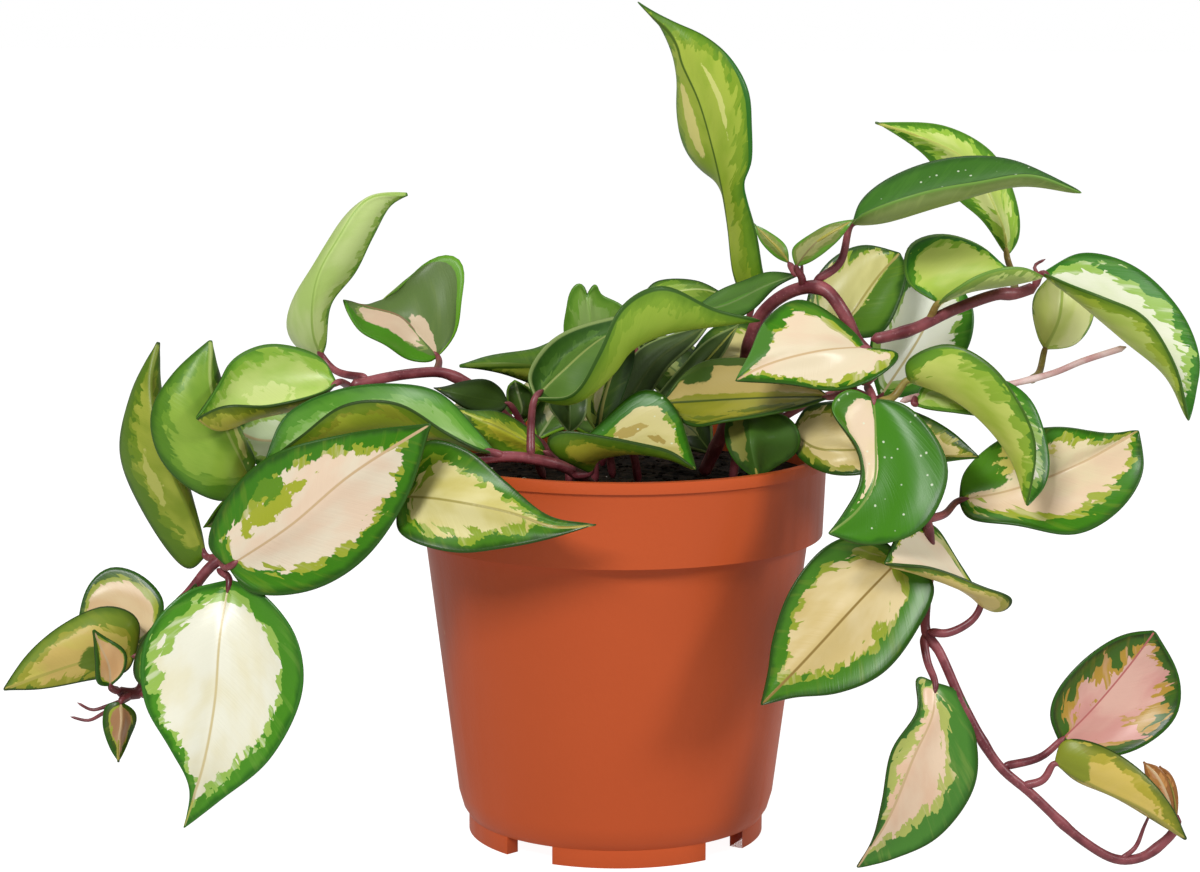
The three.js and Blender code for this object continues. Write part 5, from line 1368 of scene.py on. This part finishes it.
leaf(
    "right_upper", "leaf_green", (111, 16, 163), (73, 22, 201),
    left=[(104, 16, 173), (96, 19, 180), (88, 22, 191), (80, 22, 197)],
    mid=[(109, 12, 172), (99, 16, 190), (88, 19, 196)],
    right=[(115, 20, 168), (115, 24, 177), (108, 28, 192), (94, 26, 200)],
    stalk=[(112, 12, 159), (109, -17, 156)],
    top="light", under="yellow", widths=(1.8, 2.2), ragged=3.0, between=2.2, rib=0.3,
    stalk_coat="orange",
    top_tones={"centre": (220, 230, 146), "tint": (190, 214, 98), "between": (150, 190, 62),
               "margin": (92, 148, 32), "dark": (66, 120, 22), "rib": (180, 188, 92)},
)
leaf(
    "right_long_top", "leaf_green", (63, -28, 176), (124, -34, 185),
    left=[(66, -22, 182), (74, -18, 188), (88, -17, 193), (106, -19, 193)],
    mid=[(71, -33, 177), (87, -36, 182), (107, -34, 187)],
    right=[(66, -39, 180), (78, -43, 185), (93, -43, 188), (109, -40, 190)],
    stalk=[(60, -27, 165), (53, -26, 160)],
    top="green", under="pale", widths=(26.0, 26.0), ragged=1.0, rib=0.25, flecks=0.3, gloss=0.44,
    top_tones={"margin": (56, 108, 22), "dark": (40, 88, 14), "rib": (72, 118, 30),
               "rim": (40, 80, 16)},
    under_tones={"margin": (146, 166, 92), "dark": (122, 148, 70), "rib": (140, 150, 84)},
)
leaf(
    "right_curled", "leaf_green", (87, -24, 154), (115, -28, 162),
    left=[(79, -18, 159), (80, -10, 169), (89, -8, 172), (100, -12, 169), (107, -20, 163)],
    mid=[(94, -30, 158), (106, -30, 160)],
    right=[(90, -36, 159), (98, -38, 164), (108, -34, 165)],
    stalk=[(85, -22, 149), (83, -23, 147)],
    top="light", under="pale", widths=(2.2, 2.2), ragged=3.0, rib=0.3, stalk_coat="orange",
    top_tones={"centre": (196, 210, 104), "tint": (170, 196, 76), "between": (136, 178, 50),
               "margin": (56, 124, 24), "dark": (40, 98, 16)},
    under_tones={"centre": (180, 196, 116), "tint": (166, 186, 98), "margin": (130, 162, 70)},
)
leaf(
    "right_arching", "leaf_green", (116, -18, 162), (155, -32, 123),
    left=[(128, -12, 167), (143, -10, 163), (155, -12, 152), (160, -18, 139), (158, -25, 130)],
    mid=[(124, -26, 156), (137, -30, 145), (149, -30, 135)],
    right=[(122, -32, 160), (131, -38, 157), (140, -40, 153), (149, -38, 140)],
    stalk=[(114, -17, 157)],
    top="white", under="yellow", widths=(3.4, 2.0), ragged=3.6, between=2.4,
    top_tones={"centre": (232, 234, 208), "tint": (218, 226, 184), "margin": (58, 126, 24),
               "dark": (42, 102, 18)},
    under_tones={"centre": (208, 220, 124), "tint": (186, 208, 96)},
)
leaf(
    "right_behind", "leaf_olive", (121, 6, 138), (126, 8, 162),
    left=[(130, 8, 139), (135, 10, 146), (134, 10, 156)],
    mid=[(124, 2, 147), (125, 4, 155)],
    right=[(119, 8, 142), (118, 10, 152)],
    stalk=[(119, 0, 133), (113, -24, 133)],
    top="light", under="yellow", widths=(1.0, 1.0), ragged=2.4, stalk_coat="orange",
    # Its underside is brighter than its own yellow-green: painted light on a leaf that stands in shade.
    under_tones={"centre": (232, 236, 160), "tint": (208, 222, 116), "between": (182, 206, 84),
                 "margin": (148, 184, 58), "dark": (112, 152, 38), "rib": (176, 196, 92)},
)
leaf(
    "right_green_pink", "leaf_green", (78, -38, 135), (109, -52, 103),
    left=[(83, -32, 136), (99, -32, 136), (111, -36, 130), (116, -40, 116), (115, -44, 108)],
    mid=[(87, -42, 132), (96, -46, 126), (105, -48, 115)],
    right=[(77, -44, 141), (87, -48, 146), (97, -53, 142), (104, -56, 134), (110, -56, 121)],
    stalk=[(74, -38, 130), (69, -40, 129)],
    top="white", under="yellow", widths=(3.0, 2.4), ragged=3.6, between=2.4, rib=0.3,
    stalk_coat="orange",
    under_tones={"centre": (204, 216, 106), "tint": (176, 200, 74), "between": (146, 180, 52),
                 "margin": (106, 154, 36), "dark": (82, 130, 26)},
)
leaf(
    "right_under_strip", "leaf_green", (80, -38, 128), (99, -38, 125),
    left=[(83, -31, 133), (91, -32, 131)],
    mid=[(84, -36, 130), (92, -36, 128)],
    right=[(83, -38, 127), (91, -38, 126)],
    stalk=[(80, -35, 130)],
    top="light", under="yellow", widths=(1.2, 1.2), ragged=1.4,
)
leaf(
    "right_pink_cream", "leaf_pink", (93, -32, 101), (141, -34, 121),
    left=[(95, -26, 108), (106, -22, 117), (120, -22, 120), (134, -28, 119)],
    mid=[(107, -33, 104), (125, -36, 112)],
    right=[(95, -36, 97), (108, -42, 96), (123, -45, 94), (135, -42, 100), (142, -37, 110)],
    stalk=[(88, -42, 99), (82, -50, 99)],
    top="pink", under="olive", widths=(3.8, 4.8), ragged=3.6, between=2.0,
    blots=[("top", -0.65, 0.2, 0.5, 0.16, 0.8, (72, 126, 20)),
           ("top", -0.55, 0.42, 0.3, 0.12, 2.0, (206, 196, 100))],
    top_tones={"centre": (232, 216, 176), "tint": (230, 202, 168)},
)
leaf(
    "right_pink_lobe", "leaf_pink", (97, -54, 78), (70, -64, 90),
    left=[(100, -54, 75), (104, -56, 76), (105, -58, 79), (103, -60, 81), (97, -61, 83), (90, -62, 86),
          (82, -64, 89), (75, -66, 90)],
    mid=[(89, -58, 83), (79, -62, 87)],
    right=[(95, -48, 82), (91, -46, 88), (85, -46, 97), (76, -54, 98)],
    stalk=[(95, -54, 73), (88, -54, 69), (83, -51, 69)],
    top="pink", under="olive", widths=(2.0, 2.0), ragged=2.0, between=0.9,
    under_tones={"centre": (216, 196, 120), "tint": (206, 184, 110), "between": (176, 170, 74),
                 "margin": (96, 136, 44)},
)
leaf(
    "right_big_cream", "leaf_cream", (76, -54, 90), (38, -66, 52),
    left=[(84, -58, 83), (79, -62, 71), (70, -64, 60), (58, -65, 55), (47, -65, 54)],
    mid=[(65, -60, 80), (48, -64, 62)],
    right=[(67, -55, 96), (56, -58, 94), (46, -61, 83), (41, -63, 69), (40, -64, 61)],
    stalk=[(79, -52, 84), (83, -48, 77)],
    top="cream", under="olive", widths=(6.6, 4.2), ragged=3.0,
    top_tones={"centre": (224, 204, 154), "tint": (210, 186, 124), "between": (146, 160, 48),
               "margin": (68, 124, 22), "dark": (44, 90, 12), "rib": (146, 120, 60)},
)
leaf(
    "right_low_long", "leaf_pink", (85, -55, 56), (65, -54, 4),
    left=[(92, -55, 53), (96, -57, 42), (96, -59, 29), (87, -57, 14), (75, -55, 7)],
    mid=[(84, -59, 48), (79, -61, 37), (73, -59, 20)],
    right=[(80, -57, 58), (80, -61, 50), (73, -62, 39), (71, -61, 25), (69, -57, 13)],
    stalk=[(83, -54, 61), (82, -50, 68)],
    top="pink", under="olive", widths=(6.0, 2.0), ragged=3.2, between=2.2,
    top_tones={"centre": (236, 208, 178), "tint": (230, 192, 160), "between": (178, 186, 96),
               "margin": (74, 130, 46), "dark": (50, 102, 30)},
)
leaf(
    "right_low_pink", "leaf_pink", (119, -52, 39), (144, -50, 69),
    left=[(116, -54, 47), (118, -54, 54), (125, -53, 62), (135, -51, 68)],
    mid=[(127, -49, 46), (137, -48, 58)],
    right=[(127, -53, 35), (139, -54, 37), (150, -53, 46), (151, -51, 56)],
    stalk=[(114, -53, 35), (103, -56, 33)],
    top="pink", under="olive", widths=(6.6, 2.6), ragged=6.4, between=3.4, rib=0.3, gloss=0.26,
    top_tones={"centre": (224, 178, 162), "tint": (212, 152, 142), "between": (184, 146, 56),
               "margin": (66, 104, 28), "dark": (38, 68, 16), "rib": (184, 104, 100)},
)
leaf(
    "right_low_yellow", "leaf_olive", (117, -58, 35), (152, -62, 15),
    left=[(123, -58, 30), (132, -60, 27), (142, -60, 21)],
    mid=[(127, -62, 30), (140, -64, 24)],
    right=[(119, -58, 41), (127, -60, 41), (138, -62, 35), (147, -63, 25)],
    stalk=[(114, -58, 30), (108, -57, 28)],
    top="pink", under="olive", widths=(1.0, 2.4), ragged=2.6, between=2.2,
    under_tones={"centre": (206, 182, 88), "tint": (212, 186, 104), "between": (172, 160, 52),
                 "margin": (134, 138, 36), "dark": (100, 112, 20)},
    blots=[("under", 0.3, 0.12, 0.7, 0.14, 0.8, (136, 146, 40))],
)

size = {"cad": [list(corner) for corner in cad_box], "visual": [list(corner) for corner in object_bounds()]}
